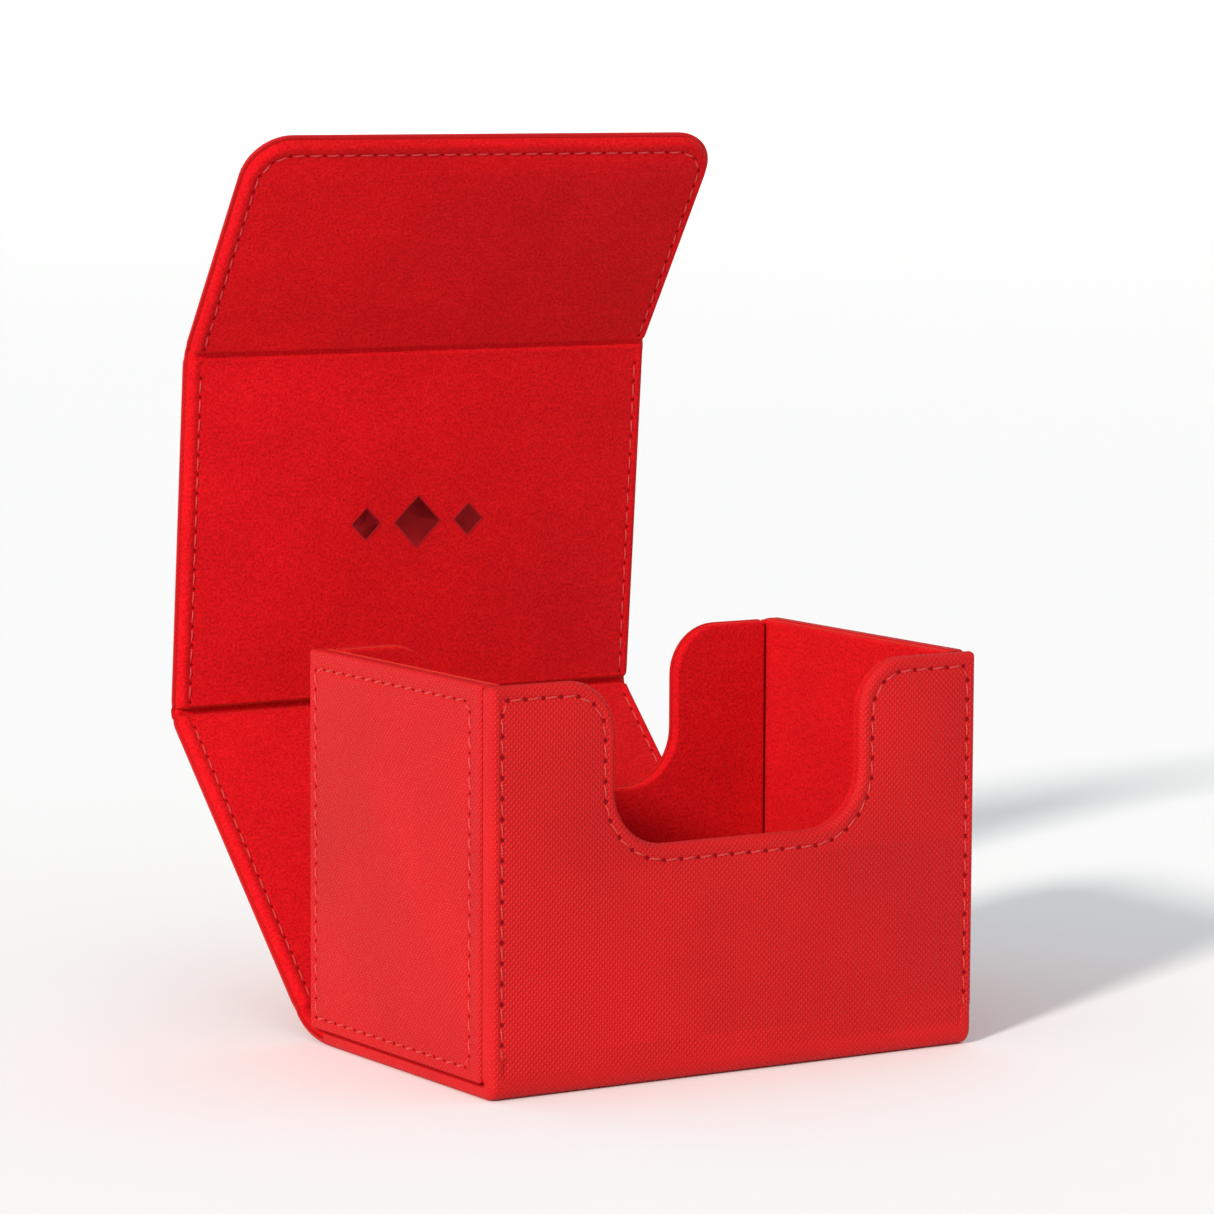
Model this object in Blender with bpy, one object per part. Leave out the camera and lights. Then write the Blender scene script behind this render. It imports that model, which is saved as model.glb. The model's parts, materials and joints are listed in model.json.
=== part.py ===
"""Card deck box: an open-topped tray with a lid that wraps round it.

The cover is one strip of greyboard panels between a textured outer skin and a suede lining. Its front wall
and base belong to the tray. The rear panel, the top panel and the front flap are the lid, and fold at three
creases that run along X. The lid stands open here.

Frame: metres, origin on the table under the middle of the tray, +X to the right, +Y to the back, +Z up.
"""

import math

import bmesh
import bpy
from mathutils import Vector

MM = 0.001

# Driving dimensions.
TRAY_WIDTH = 108.0 * MM
TRAY_DEPTH = 67.9 * MM
TRAY_HEIGHT = 76.2 * MM
PANEL_THICKNESS = 3.6 * MM
END_THICKNESS = 4.8 * MM
BASE_THICKNESS = 2.4 * MM
SKIN = 0.7 * MM
LINING = 0.7 * MM
FLOOR_BOARD = 1.6 * MM
GAP = 0.3 * MM

# The finger notch in the front and back walls.
NOTCH_HALF_WIDTH = 27.3 * MM
NOTCH_FLOOR = 45.4 * MM
NOTCH_LIP_RADIUS = 10.0 * MM
NOTCH_FLOOR_RADIUS = 11.0 * MM
ARC_STEPS = 8

# The creases. A setback is the distance from a crease's axis to the outer face beside it.
BASE_SETBACK = 2.0 * MM
REAR_SETBACK = 1.35 * MM
LID_SETBACK = 1.0 * MM
BASE_BACK_EDGE = 28.5 * MM
REAR_MARGIN = 4.7 * MM
LID_MARGIN = 3.0 * MM
FLAP_REACH = 52.5 * MM
FLAP_CORNER_RADIUS = 9.5 * MM
CREASE_STEPS = 10

# How far each crease is folded as the lid stands open. All three are at 90 degrees when it is closed.
REAR_FOLD = math.radians(44.7)
TOP_FOLD = math.radians(49.9)
FLAP_FOLD = math.radians(28.5)

# Closure: a disc magnet in the flap meets a steel disc in the front wall, on each side.
DISC_RADIUS = 5.0 * MM
DISC_THICKNESS = 1.0 * MM
DISC_SPACING = 34.0 * MM
DISC_HEIGHT = 36.0 * MM
DISC_SIDES = 32

# Worked out from the above.
HALF_WIDTH = TRAY_WIDTH / 2
HALF_DEPTH = TRAY_DEPTH / 2
CLOSED_BACK = HALF_DEPTH + GAP + PANEL_THICKNESS
CLOSED_TOP = TRAY_HEIGHT + GAP + PANEL_THICKNESS
REAR_AXIS = Vector((0.0, CLOSED_BACK - REAR_SETBACK, BASE_SETBACK))
REAR_SPAN = CLOSED_TOP - LID_SETBACK - BASE_SETBACK
TOP_SPAN = 2 * (CLOSED_BACK - LID_SETBACK)
WALL_FOOT = BASE_THICKNESS + GAP
INNER_HALF_WIDTH = HALF_WIDTH - END_THICKNESS - GAP
WALL_INNER_FACE = HALF_DEPTH - PANEL_THICKNESS

SKIN_COLOUR = (0.62, 0.018, 0.022, 1.0)
LINING_COLOUR = (0.42, 0.010, 0.014, 1.0)
BOARD_COLOUR = (0.33, 0.30, 0.26, 1.0)
STEEL_COLOUR = (0.62, 0.62, 0.64, 1.0)


def clear_scene():
    """Removes every object, so that the script can be run again in an open file."""
    for obj in list(bpy.data.objects):
        bpy.data.objects.remove(obj, do_unlink=True)


def new_collection(name):
    """A collection of this name, linked to the scene."""
    collection = bpy.data.collections.new(name)
    bpy.context.scene.collection.children.link(collection)
    return collection


def new_material(name, colour, roughness, metallic=0.0):
    """A plain Principled material."""
    material = bpy.data.materials.new(name)
    material.use_nodes = True
    shader = material.node_tree.nodes["Principled BSDF"]
    shader.inputs["Base Color"].default_value = colour
    shader.inputs["Roughness"].default_value = roughness
    shader.inputs["Metallic"].default_value = metallic
    return material


def prism(name, outline, low, high):
    """A flat outline in XY, drawn anticlockwise, made solid from height low to height high."""
    curve = bpy.data.curves.new(name, "CURVE")
    curve.dimensions = "2D"
    curve.fill_mode = "BOTH"
    curve.extrude = (high - low) / 2
    spline = curve.splines.new("POLY")
    spline.points.add(len(outline) - 1)
    for point, (x, y) in zip(spline.points, outline):
        point.co = (x, y, 0.0, 1.0)
    spline.use_cyclic_u = True
    drawn = bpy.data.objects.new(name, curve)
    bpy.context.scene.collection.objects.link(drawn)
    graph = bpy.context.evaluated_depsgraph_get()
    mesh = bpy.data.meshes.new_from_object(drawn.evaluated_get(graph))
    bpy.data.objects.remove(drawn, do_unlink=True)
    bpy.data.curves.remove(curve)
    mesh.name = name
    weld = bmesh.new()
    weld.from_mesh(mesh)
    bmesh.ops.remove_doubles(weld, verts=weld.verts, dist=0.001 * MM)
    bmesh.ops.translate(weld, verts=weld.verts, vec=(0.0, 0.0, (low + high) / 2))
    bmesh.ops.recalc_face_normals(weld, faces=weld.faces)
    weld.to_mesh(mesh)
    weld.free()
    return bpy.data.objects.new(name, mesh)


def disc(name, centre, radius, low, high):
    """An upright disc about a point of the XY plane, from height low to height high."""
    mesh = bpy.data.meshes.new(name)
    shape = bmesh.new()
    bmesh.ops.create_cone(
        shape, cap_ends=True, segments=DISC_SIDES, radius1=radius, radius2=radius, depth=high - low
    )
    bmesh.ops.translate(shape, verts=shape.verts, vec=(centre[0], centre[1], (low + high) / 2))
    shape.to_mesh(mesh)
    shape.free()
    mesh.shade_smooth()
    mesh.set_sharp_from_angle(angle=math.radians(30))
    return bpy.data.objects.new(name, mesh)


def cut(target, cutter):
    """Takes the cutter out of the target, and keeps it as a hidden helper in the same place."""
    cutters.objects.link(cutter)
    cutter.parent = target.parent
    cutter.location = target.location
    cutter.rotation_euler = target.rotation_euler
    cutter.hide_render = True
    cutter.display_type = "WIRE"
    modifier = target.modifiers.new(cutter.name, "BOOLEAN")
    modifier.operation = "DIFFERENCE"
    modifier.object = cutter


def place(obj, material, parent, location=(0.0, 0.0, 0.0), turn=(0.0, 0.0, 0.0)):
    """Puts a finished piece in the box's collection, dressed and in its place."""
    parts.objects.link(obj)
    obj.data.materials.append(material)
    obj.parent = parent
    obj.location = location
    obj.rotation_euler = turn
    return obj


def new_empty(name, parent, location, turn=(0.0, 0.0, 0.0)):
    """An empty that marks an axis or carries a group of pieces."""
    empty = bpy.data.objects.new(name, None)
    parts.objects.link(empty)
    empty.empty_display_size = 10 * MM
    empty.parent = parent
    empty.location = location
    empty.rotation_euler = turn
    return empty


def arc(centre, radius, start, end):
    """Points of an arc from one angle to another, in degrees, both ends included."""
    points = []
    for step in range(ARC_STEPS + 1):
        angle = math.radians(start + (end - start) * step / ARC_STEPS)
        points.append((centre[0] + radius * math.cos(angle), centre[1] + radius * math.sin(angle)))
    return points


def rectangle(left, bottom, right, top):
    """An outline that gives a rectangle, drawn in by whatever inset it is asked for."""

    def outline(inset):
        low = (left + inset, bottom + inset)
        high = (right - inset, top - inset)
        return [low, (high[0], low[1]), high, (low[0], high[1])]

    return outline


def notched_wall(half_width, bottom, top):
    """An outline of a wall with the finger notch in its top edge."""

    def outline(inset):
        side = half_width - inset
        lip_x = NOTCH_HALF_WIDTH + NOTCH_LIP_RADIUS
        lip_y = top - NOTCH_LIP_RADIUS
        floor_x = NOTCH_HALF_WIDTH - NOTCH_FLOOR_RADIUS
        floor_y = NOTCH_FLOOR + NOTCH_FLOOR_RADIUS
        lip = NOTCH_LIP_RADIUS - inset
        floor = NOTCH_FLOOR_RADIUS + inset
        right = arc((lip_x, lip_y), lip, 90, 180) + arc((floor_x, floor_y), floor, 0, -90)
        left = [(-x, y) for x, y in reversed(right)]
        foot = [(-side, bottom + inset), (side, bottom + inset)]
        return foot + [(side, top - inset)] + right + left + [(-side, top - inset)]

    return outline


def flap_outline(inset):
    """The flap: square at its crease and rounded at its two free corners."""
    side = HALF_WIDTH - inset
    radius = FLAP_CORNER_RADIUS - inset
    corner_x = HALF_WIDTH - FLAP_CORNER_RADIUS
    corner_y = FLAP_REACH - FLAP_CORNER_RADIUS
    crease = [(-side, LID_MARGIN + inset), (side, LID_MARGIN + inset)]
    right = arc((corner_x, corner_y), radius, 0, 90)
    left = arc((-corner_x, corner_y), radius, 90, 180)
    return crease + right + left


def laminate(name, outline, outer, thickness, parent, location=(0.0, 0.0, 0.0), turn=(0.0, 0.0, 0.0)):
    """Skin, board and lining of one panel, which faces outwards along its own +Z.

    The skin and the lining each turn over half of the panel's edge, so the board is wrapped on all sides.
    """
    inner = outer - thickness
    middle = (outer + inner) / 2
    skin = prism(name + "_skin", outline(0.0), middle + GAP / 2, outer)
    place(skin, skin_material, parent, location, turn)
    cut(skin, prism(name + "_skin_hollow", outline(SKIN), inner, outer - SKIN))
    board = prism(name + "_board", outline(SKIN + GAP), inner + LINING + GAP, outer - SKIN - GAP)
    place(board, board_material, parent, location, turn)
    lining = prism(name + "_lining", outline(0.0), inner, middle - GAP / 2)
    place(lining, lining_material, parent, location, turn)
    cut(lining, prism(name + "_lining_hollow", outline(LINING), inner + LINING, outer))
    return board


def closure_discs(board, kind, material, height, middle):
    """The two discs of the closure, each in a hole through the board."""
    for side, sign in (("left", -1), ("right", 1)):
        centre = (sign * DISC_SPACING, height)
        hole = disc(f"{kind}_{side}_hole", centre, DISC_RADIUS + GAP, middle - 3 * MM, middle + 3 * MM)
        cut(board, hole)
        low = middle - DISC_THICKNESS / 2
        piece = disc(f"{kind}_{side}", centre, DISC_RADIUS, low, low + DISC_THICKNESS)
        place(piece, material, board.parent, board.location, board.rotation_euler)


def crease_point(axis, angle, setback, along, depth):
    """A point of a panel's section: along from the axis, and depth in from its outer face."""
    direction = Vector((math.cos(angle), math.sin(angle)))
    outward = Vector((math.sin(angle), -math.cos(angle)))
    return Vector((axis.y, axis.z)) + along * direction + (setback - depth) * outward


def meeting_point(point, angle, other, other_angle):
    """Where two lines of the section cross, each given by a point and its angle."""
    direction = Vector((math.cos(angle), math.sin(angle)))
    normal = Vector((-math.sin(other_angle), math.cos(other_angle)))
    return point + direction * ((other - point).dot(normal) / direction.dot(normal))


def crease_strip(name, material, axis, before, after, depth, start=0.0):
    """The sheet that bridges a crease, on the curve that leaves one panel and meets the next in line.

    before and after each give the panel's angle, its setback, and how far from the axis the strip ends.
    depth is from the outer faces to the sheet's middle. start leaves out the first part of the curve.
    """
    first = crease_point(axis, *before, depth)
    last = crease_point(axis, *after, depth)
    corner = meeting_point(first, before[0], last, after[0])
    outer_side = []
    inner_side = []
    for step in range(CREASE_STEPS + 1):
        t = start + (1 - start) * step / CREASE_STEPS
        point = (1 - t) ** 2 * first + 2 * t * (1 - t) * corner + t * t * last
        tangent = ((1 - t) * (corner - first) + t * (last - corner)).normalized()
        normal = Vector((-tangent.y, tangent.x))
        outer_side.append(tuple(point - normal * SKIN / 2))
        inner_side.append(tuple(point + normal * SKIN / 2))
    outline = outer_side + inner_side[::-1]
    outline = [(y - axis.y, z - axis.z) for y, z in outline]
    strip = prism(name, outline, -HALF_WIDTH, HALF_WIDTH)
    return place(strip, material, None, axis, SIDE_ON)


# Which way each upright wall faces, as a turn of a panel that is drawn flat and faces +Z.
FACING_FRONT = (math.pi / 2, 0.0, 0.0)
FACING_BACK = (math.pi / 2, 0.0, math.pi)
FACING_LEFT = (math.pi / 2, 0.0, -math.pi / 2)
FACING_RIGHT = (math.pi / 2, 0.0, math.pi / 2)
SIDE_ON = FACING_RIGHT


def build_base():
    """The cover's base, under the tray: a skin that turns up at its edges, and a board in it."""
    front = -HALF_DEPTH
    skin_outline = rectangle(-HALF_WIDTH, front, HALF_WIDTH, BASE_BACK_EDGE)
    skin = prism("base_skin", skin_outline(0.0), 0.0, BASE_THICKNESS)
    place(skin, skin_material, None)
    cut(skin, prism("base_skin_hollow", skin_outline(SKIN), SKIN, BASE_THICKNESS + SKIN))
    board = prism("base_board", skin_outline(SKIN + GAP), SKIN + GAP, BASE_THICKNESS)
    place(board, board_material, None)


def build_walls():
    """The tray's four walls."""
    front = notched_wall(HALF_WIDTH, WALL_FOOT, TRAY_HEIGHT)
    board = laminate(
        "front_wall", front, 0.0, PANEL_THICKNESS, None, (0.0, -HALF_DEPTH, 0.0), FACING_FRONT
    )
    middle = -PANEL_THICKNESS / 2
    closure_discs(board, "front_wall_keeper", steel_material, DISC_HEIGHT, middle)
    back = notched_wall(INNER_HALF_WIDTH, WALL_FOOT, TRAY_HEIGHT)
    laminate("back_wall", back, 0.0, PANEL_THICKNESS, None, (0.0, HALF_DEPTH, 0.0), FACING_BACK)
    front_edge = -WALL_INNER_FACE + GAP
    left = rectangle(-HALF_DEPTH, WALL_FOOT, -front_edge, TRAY_HEIGHT)
    laminate("left_end", left, 0.0, END_THICKNESS, None, (-HALF_WIDTH, 0.0, 0.0), FACING_LEFT)
    right = rectangle(front_edge, WALL_FOOT, HALF_DEPTH, TRAY_HEIGHT)
    laminate("right_end", right, 0.0, END_THICKNESS, None, (HALF_WIDTH, 0.0, 0.0), FACING_RIGHT)


def build_floor():
    """The tray's floor, a lined board between the walls."""
    reach = WALL_INNER_FACE - GAP
    outline = rectangle(-INNER_HALF_WIDTH, -reach, INNER_HALF_WIDTH, reach)
    top = WALL_FOOT + FLOOR_BOARD
    board = prism("floor_board", outline(0.0), WALL_FOOT, top)
    place(board, board_material, None)
    lining = prism("floor_lining", outline(0.0), top + GAP, top + GAP + LINING)
    place(lining, lining_material, None)


def build_lid():
    """The three panels of the lid, each carried by an empty on its crease's axis."""
    rear = new_empty("rear_hinge_axis", None, REAR_AXIS, (math.pi - REAR_FOLD, 0.0, math.pi))
    rear_outline = rectangle(-HALF_WIDTH, REAR_MARGIN, HALF_WIDTH, REAR_SPAN - LID_MARGIN)
    laminate("rear_panel", rear_outline, REAR_SETBACK, PANEL_THICKNESS, rear)

    top_start = (0.0, REAR_SPAN, REAR_SETBACK - LID_SETBACK)
    top = new_empty("top_hinge_axis", rear, top_start, (-TOP_FOLD, 0.0, 0.0))
    top_outline = rectangle(-HALF_WIDTH, LID_MARGIN, HALF_WIDTH, TOP_SPAN - LID_MARGIN)
    laminate("top_panel", top_outline, LID_SETBACK, PANEL_THICKNESS, top)

    flap = new_empty("flap_hinge_axis", top, (0.0, TOP_SPAN, 0.0), (-FLAP_FOLD, 0.0, 0.0))
    board = laminate("front_flap", flap_outline, LID_SETBACK, PANEL_THICKNESS, flap)
    height = CLOSED_TOP - LID_SETBACK - DISC_HEIGHT
    middle = LID_SETBACK - PANEL_THICKNESS / 2
    closure_discs(board, "front_flap_magnet", steel_material, height, middle)
    return top, flap


def build_creases(top, flap):
    """The skin and the lining where they bend, between one panel and the next."""
    bpy.context.view_layer.update()
    top_axis = top.matrix_world.translation
    flap_axis = flap.matrix_world.translation
    rear_angle = REAR_FOLD
    top_angle = rear_angle + TOP_FOLD
    flap_angle = top_angle + FLAP_FOLD
    skin_depth = SKIN / 2
    lining_depth = SKIN + GAP + LINING / 2

    base_end = (0.0, BASE_SETBACK, BASE_BACK_EDGE + GAP - REAR_AXIS.y)
    rear_start = (rear_angle, REAR_SETBACK, REAR_MARGIN - GAP)
    crease_strip("rear_crease_skin", skin_material, REAR_AXIS, base_end, rear_start, skin_depth)
    crease_strip(
        "rear_crease_lining", lining_material, REAR_AXIS, base_end, rear_start, lining_depth, 0.5
    )
    reach = LID_MARGIN - GAP
    creases = (("top", top_axis, rear_angle, top_angle), ("flap", flap_axis, top_angle, flap_angle))
    for name, axis, angle_before, angle_after in creases:
        before = (angle_before, LID_SETBACK, -reach)
        after = (angle_after, LID_SETBACK, reach)
        crease_strip(name + "_crease_skin", skin_material, axis, before, after, skin_depth)
        crease_strip(name + "_crease_lining", lining_material, axis, before, after, lining_depth)


clear_scene()
parts = new_collection("card_deck_box")
cutters = new_collection("cutters")
skin_material = new_material("textured_red_skin", SKIN_COLOUR, 0.5)
lining_material = new_material("red_suede_lining", LINING_COLOUR, 0.95)
board_material = new_material("greyboard", BOARD_COLOUR, 0.9)
steel_material = new_material("nickelled_steel", STEEL_COLOUR, 0.3, 1.0)
build_base()
build_walls()
build_floor()
top_hinge, flap_hinge = build_lid()
build_creases(top_hinge, flap_hinge)
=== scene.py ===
"""Red card deck box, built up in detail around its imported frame.

The box is one ribbon of embossed sheet that runs down the front wall, under the base and over the
three panels of the lid, with end walls and a back wall set into it. Every board is wrapped: sheet
outside, suede inside, a seam in the side edge and a row of stitches just in from it.
"""

import json
import logging
import math
from dataclasses import dataclass, field, replace
from enum import Enum

import bmesh
import bpy
import numpy as np
from mathutils import Matrix, Vector


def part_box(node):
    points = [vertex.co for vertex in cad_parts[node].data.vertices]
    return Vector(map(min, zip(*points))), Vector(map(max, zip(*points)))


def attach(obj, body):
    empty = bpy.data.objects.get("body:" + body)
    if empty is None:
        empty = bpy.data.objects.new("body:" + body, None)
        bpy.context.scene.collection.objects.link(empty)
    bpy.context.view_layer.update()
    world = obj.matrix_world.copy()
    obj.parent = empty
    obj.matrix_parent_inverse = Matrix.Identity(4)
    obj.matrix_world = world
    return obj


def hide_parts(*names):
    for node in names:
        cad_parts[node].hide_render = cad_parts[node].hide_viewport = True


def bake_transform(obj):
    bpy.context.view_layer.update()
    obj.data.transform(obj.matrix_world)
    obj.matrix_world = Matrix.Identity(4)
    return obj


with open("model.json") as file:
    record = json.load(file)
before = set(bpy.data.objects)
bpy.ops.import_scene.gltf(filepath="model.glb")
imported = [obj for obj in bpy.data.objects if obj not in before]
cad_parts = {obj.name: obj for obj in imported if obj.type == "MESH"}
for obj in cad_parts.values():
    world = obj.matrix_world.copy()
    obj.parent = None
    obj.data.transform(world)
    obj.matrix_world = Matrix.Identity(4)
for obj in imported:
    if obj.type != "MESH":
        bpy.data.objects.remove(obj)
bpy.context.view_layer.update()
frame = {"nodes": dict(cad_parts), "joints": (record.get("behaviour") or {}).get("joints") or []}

Array = np.ndarray
LOG = logging.getLogger("deck_box")
MM = 0.001
PATTERN_MAP = "surface"
RELIEF = "relief"


class Side(Enum):
    """Which half of a wrapped board a piece is: the sheet outside or the suede inside."""

    COVER = 1
    LINING = -1

    @property
    def word(self) -> str:
        """The last word in the name of a piece on this side."""
        return "cover" if self is Side.COVER else "suede"

    @property
    def slot(self) -> str:
        """The material slot of this side, which is also the last word of its CAD nodes' names."""
        return "skin" if self is Side.COVER else "lining"


# ---------------------------------------------------------------- finishes


def linear(hex_colour: str) -> tuple[float, float, float, float]:
    """Turns an sRGB hex colour into the linear colour that shaders use.

    Args:
        hex_colour: Six hex digits after a hash sign.

    Returns:
        Red, green, blue and an alpha of one.
    """
    channels = np.array([int(hex_colour[i:i + 2], 16) for i in (1, 3, 5)]) / 255
    low = channels / 12.92
    high = ((channels + 0.055) / 1.055) ** 2.4
    return (*np.where(channels <= 0.04045, low, high).tolist(), 1.0)


def add_node(tree: bpy.types.NodeTree, kind: str, inputs: dict | None = None, **settings) -> bpy.types.Node:
    """Adds one node, sets its properties and fills or links its inputs.

    Args:
        tree: The tree that takes the node.
        kind: The node's type, without its ShaderNode prefix.
        inputs: A value or an output socket for each input's name or number.
        **settings: The node's own properties.

    Returns:
        The new node.
    """
    node = tree.nodes.new("ShaderNode" + kind)
    for name, value in settings.items():
        setattr(node, name, value)
    for key, value in (inputs or {}).items():
        if isinstance(value, bpy.types.NodeSocket):
            tree.links.new(value, node.inputs[key])
        else:
            node.inputs[key].default_value = value
    return node


def new_material(name: str) -> tuple[bpy.types.Material, bpy.types.NodeTree]:
    """Makes an empty node material.

    Args:
        name: The material's name.

    Returns:
        The material and its tree.
    """
    material = bpy.data.materials.new(name)
    material.use_nodes = True
    material.node_tree.nodes.clear()
    return material, material.node_tree


def finish_material(tree: bpy.types.NodeTree, **sockets) -> None:
    """Adds the shader and the output.

    Args:
        tree: The material's tree.
        **sockets: Principled inputs, with underscores for the spaces in their names.
    """
    inputs = {name.replace("_", " "): value for name, value in sockets.items()}
    shader = add_node(tree, "BsdfPrincipled", inputs)
    add_node(tree, "OutputMaterial", {"Surface": shader.outputs[0]})


@dataclass(frozen=True)
class EmbossedSheet:
    """Polyurethane leather with a cross-hatch rolled into it.

    The rollers leave small raised diamonds between two sets of grooves, so the eye gets a fine diagonal
    sparkle.
    The grooves are painted a darker red, as painted shade, and the pattern fades where the sheet is pulled
    over an edge.
    """

    # ridge is the sheet's own red; groove is painted shade, that red darkened for the shadow in the grooves
    ridge: str = "#D2171A"
    groove: str = "#A60C11"
    pitch: float = 0.80 * MM
    depth: float = 0.18 * MM
    grain: float = 0.25 * MM
    cloud: float = 28.0 * MM
    roughness: float = 0.46

    def build(self) -> bpy.types.Material:
        """Builds the material.

        A triangle wave runs across each set of grooves, and the height is the smaller of the two,
        rounded off, times the relief stored on the mesh. The same height mixes the painted shade of the
        grooves into the colour. Its grain is drawn at 0.25 mm, coarser than the real one, so that it shows.

        Returns:
            The material.
        """
        material, tree = new_material("embossed_polyurethane_leather")
        place = add_node(tree, "UVMap", uv_map=PATTERN_MAP).outputs[0]
        turned = add_node(tree, "Mapping", {
            "Vector": place, "Rotation": (0, 0, math.radians(45)), "Scale": (1 / self.pitch,) * 3})
        axes = add_node(tree, "SeparateXYZ", {0: turned.outputs[0]})
        waves = [add_node(tree, "Math", {0: axes.outputs[i], 1: 0.5}, operation="PINGPONG").outputs[0]
                 for i in (0, 1)]
        lower = add_node(tree, "Math", {0: waves[0], 1: waves[1]}, operation="MINIMUM").outputs[0]
        diamond = add_node(tree, "MapRange", {"Value": lower, "From Min": 0.0, "From Max": 0.46},
                           interpolation_type="SMOOTHSTEP").outputs[0]
        relief = add_node(tree, "Attribute", attribute_name=RELIEF).outputs["Fac"]
        raised = add_node(tree, "Math", {0: diamond, 1: relief}, operation="MULTIPLY").outputs[0]
        grain = add_node(tree, "TexNoise", {
            "Vector": place, "Scale": 1 / self.grain, "Detail": 3.0, "Roughness": 0.6}).outputs[0]
        cloud = add_node(tree, "TexNoise", {
            "Vector": place, "Scale": 1 / self.cloud, "Detail": 2.0, "Roughness": 0.5}).outputs[0]
        shown = add_node(tree, "MapRange", {
            "Value": raised, "From Min": 0.0, "From Max": 1.0, "To Min": 0.52, "To Max": 1.0}).outputs[0]
        smooth = add_node(tree, "MapRange", {
            "Value": relief, "From Min": 0.0, "From Max": 1.0, "To Min": 0.8, "To Max": 0.0}).outputs[0]
        share = add_node(tree, "Math", {0: shown, 1: smooth}, operation="MAXIMUM").outputs[0]
        # painted shade: the groove red goes where the diamonds fall away, with less of it on turned edges
        colour = add_node(tree, "Mix", {
            "Factor": share, "A": linear(self.groove), "B": linear(self.ridge)},
            data_type="RGBA").outputs["Result"]
        tint = add_node(tree, "MapRange", {
            "Value": cloud, "From Min": 0.3, "From Max": 0.7, "To Min": 0.93, "To Max": 1.06}).outputs[0]
        toned = add_node(tree, "HueSaturation", {"Color": colour, "Value": tint}).outputs[0]
        gloss = add_node(tree, "MapRange", {
            "Value": raised, "From Min": 0.0, "From Max": 1.0,
            "To Min": self.roughness + 0.16, "To Max": self.roughness}).outputs[0]
        fine = add_node(tree, "Bump", {
            "Height": grain, "Distance": 0.02 * MM, "Strength": 0.8}).outputs[0]
        bump = add_node(tree, "Bump", {
            "Height": raised, "Distance": self.depth, "Strength": 1.0, "Normal": fine}).outputs[0]
        finish_material(tree, Base_Color=toned, Roughness=gloss, Normal=bump, IOR=1.48,
                        Specular_IOR_Level=0.16)
        return material


@dataclass(frozen=True)
class Suede:
    """Microfibre suede, brushed: short fibres that stand at slightly different angles.

    The eye gets a fine speckle, soft patches where the nap lies another way, and a pale warm sheen
    where light grazes it.
    """

    pile: str = "#D8101A"
    shade: str = "#98040C"
    lit: str = "#E61E1E"
    fibre: float = 0.55 * MM
    clump: float = 2.2 * MM
    patch: float = 22.0 * MM

    def build(self) -> bpy.types.Material:
        """Builds the material.

        Fibres are noise at 0.55 mm, drawn coarser than the real 0.02 mm so that the speckle shows.
        Clumps and patches are the same noise, larger, and mix a darker and a lighter red in.

        Returns:
            The material.
        """
        material, tree = new_material("brushed_microfibre_suede")
        place = add_node(tree, "UVMap", uv_map=PATTERN_MAP).outputs[0]
        fibre, clump, patch = (
            add_node(tree, "TexNoise", {
                "Vector": place, "Scale": 1 / size, "Detail": detail, "Roughness": 0.65}).outputs[0]
            for size, detail in ((self.fibre, 4.0), (self.clump, 3.0), (self.patch, 2.0)))
        dark = add_node(tree, "MapRange", {
            "Value": fibre, "From Min": 0.62, "From Max": 0.34, "To Min": 0.0, "To Max": 0.75}).outputs[0]
        light = add_node(tree, "MapRange", {
            "Value": clump, "From Min": 0.45, "From Max": 0.75, "To Min": 0.0, "To Max": 0.30}).outputs[0]
        first = add_node(tree, "Mix", {
            "Factor": dark, "A": linear(self.pile), "B": linear(self.shade)},
            data_type="RGBA").outputs["Result"]
        second = add_node(tree, "Mix", {
            "Factor": light, "A": first, "B": linear(self.lit)}, data_type="RGBA").outputs["Result"]
        tint = add_node(tree, "MapRange", {
            "Value": patch, "From Min": 0.3, "From Max": 0.7, "To Min": 0.93, "To Max": 1.06}).outputs[0]
        toned = add_node(tree, "HueSaturation", {"Color": second, "Value": tint}).outputs[0]
        soft = add_node(tree, "Bump", {
            "Height": clump, "Distance": 0.12 * MM, "Strength": 0.5}).outputs[0]
        bump = add_node(tree, "Bump", {
            "Height": fibre, "Distance": 0.16 * MM, "Strength": 0.8, "Normal": soft}).outputs[0]
        finish_material(
            tree, Base_Color=toned, Roughness=0.95, Normal=bump, Specular_IOR_Level=0.08,
            Sheen_Weight=0.45, Sheen_Roughness=0.4, Sheen_Tint=linear("#FF5A40"))
        return material


@dataclass(frozen=True)
class Thread:
    """Bonded polyester sewing thread, twisted from three plies.

    The plies catch the light one after another, so each stitch is a short string of pale glints; the valleys
    between them are painted a darker red, as painted shade.
    """

    ply: str = "#DE3A34"
    # painted shade: the thread's red darkened for the shadow in the valleys between plies
    valley: str = "#A01016"
    twist: float = 0.55 * MM

    def build(self) -> bpy.types.Material:
        """Builds the material: a slanting wave over the thread's own map for the plies, mixing painted shade
        into the valleys.

        Returns:
            The material.
        """
        material, tree = new_material("bonded_polyester_thread")
        place = add_node(tree, "UVMap", uv_map=PATTERN_MAP).outputs[0]
        turned = add_node(tree, "Mapping", {
            "Vector": place, "Rotation": (0, 0, math.radians(35)), "Scale": (1 / self.twist,) * 3})
        axes = add_node(tree, "SeparateXYZ", {0: turned.outputs[0]})
        wave = add_node(tree, "Math", {0: axes.outputs[0], 1: 0.5}, operation="PINGPONG").outputs[0]
        share = add_node(tree, "MapRange", {"Value": wave, "From Min": 0.0, "From Max": 0.5}).outputs[0]
        colour = add_node(tree, "Mix", {
            "Factor": share, "A": linear(self.valley), "B": linear(self.ply)},
            data_type="RGBA").outputs["Result"]
        bump = add_node(tree, "Bump", {"Height": share, "Distance": 0.05 * MM, "Strength": 0.8}).outputs[0]
        finish_material(tree, Base_Color=colour, Roughness=0.5, Normal=bump, Sheen_Weight=0.3,
                        Sheen_Tint=linear("#FFC8B8"))
        return material


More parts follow.
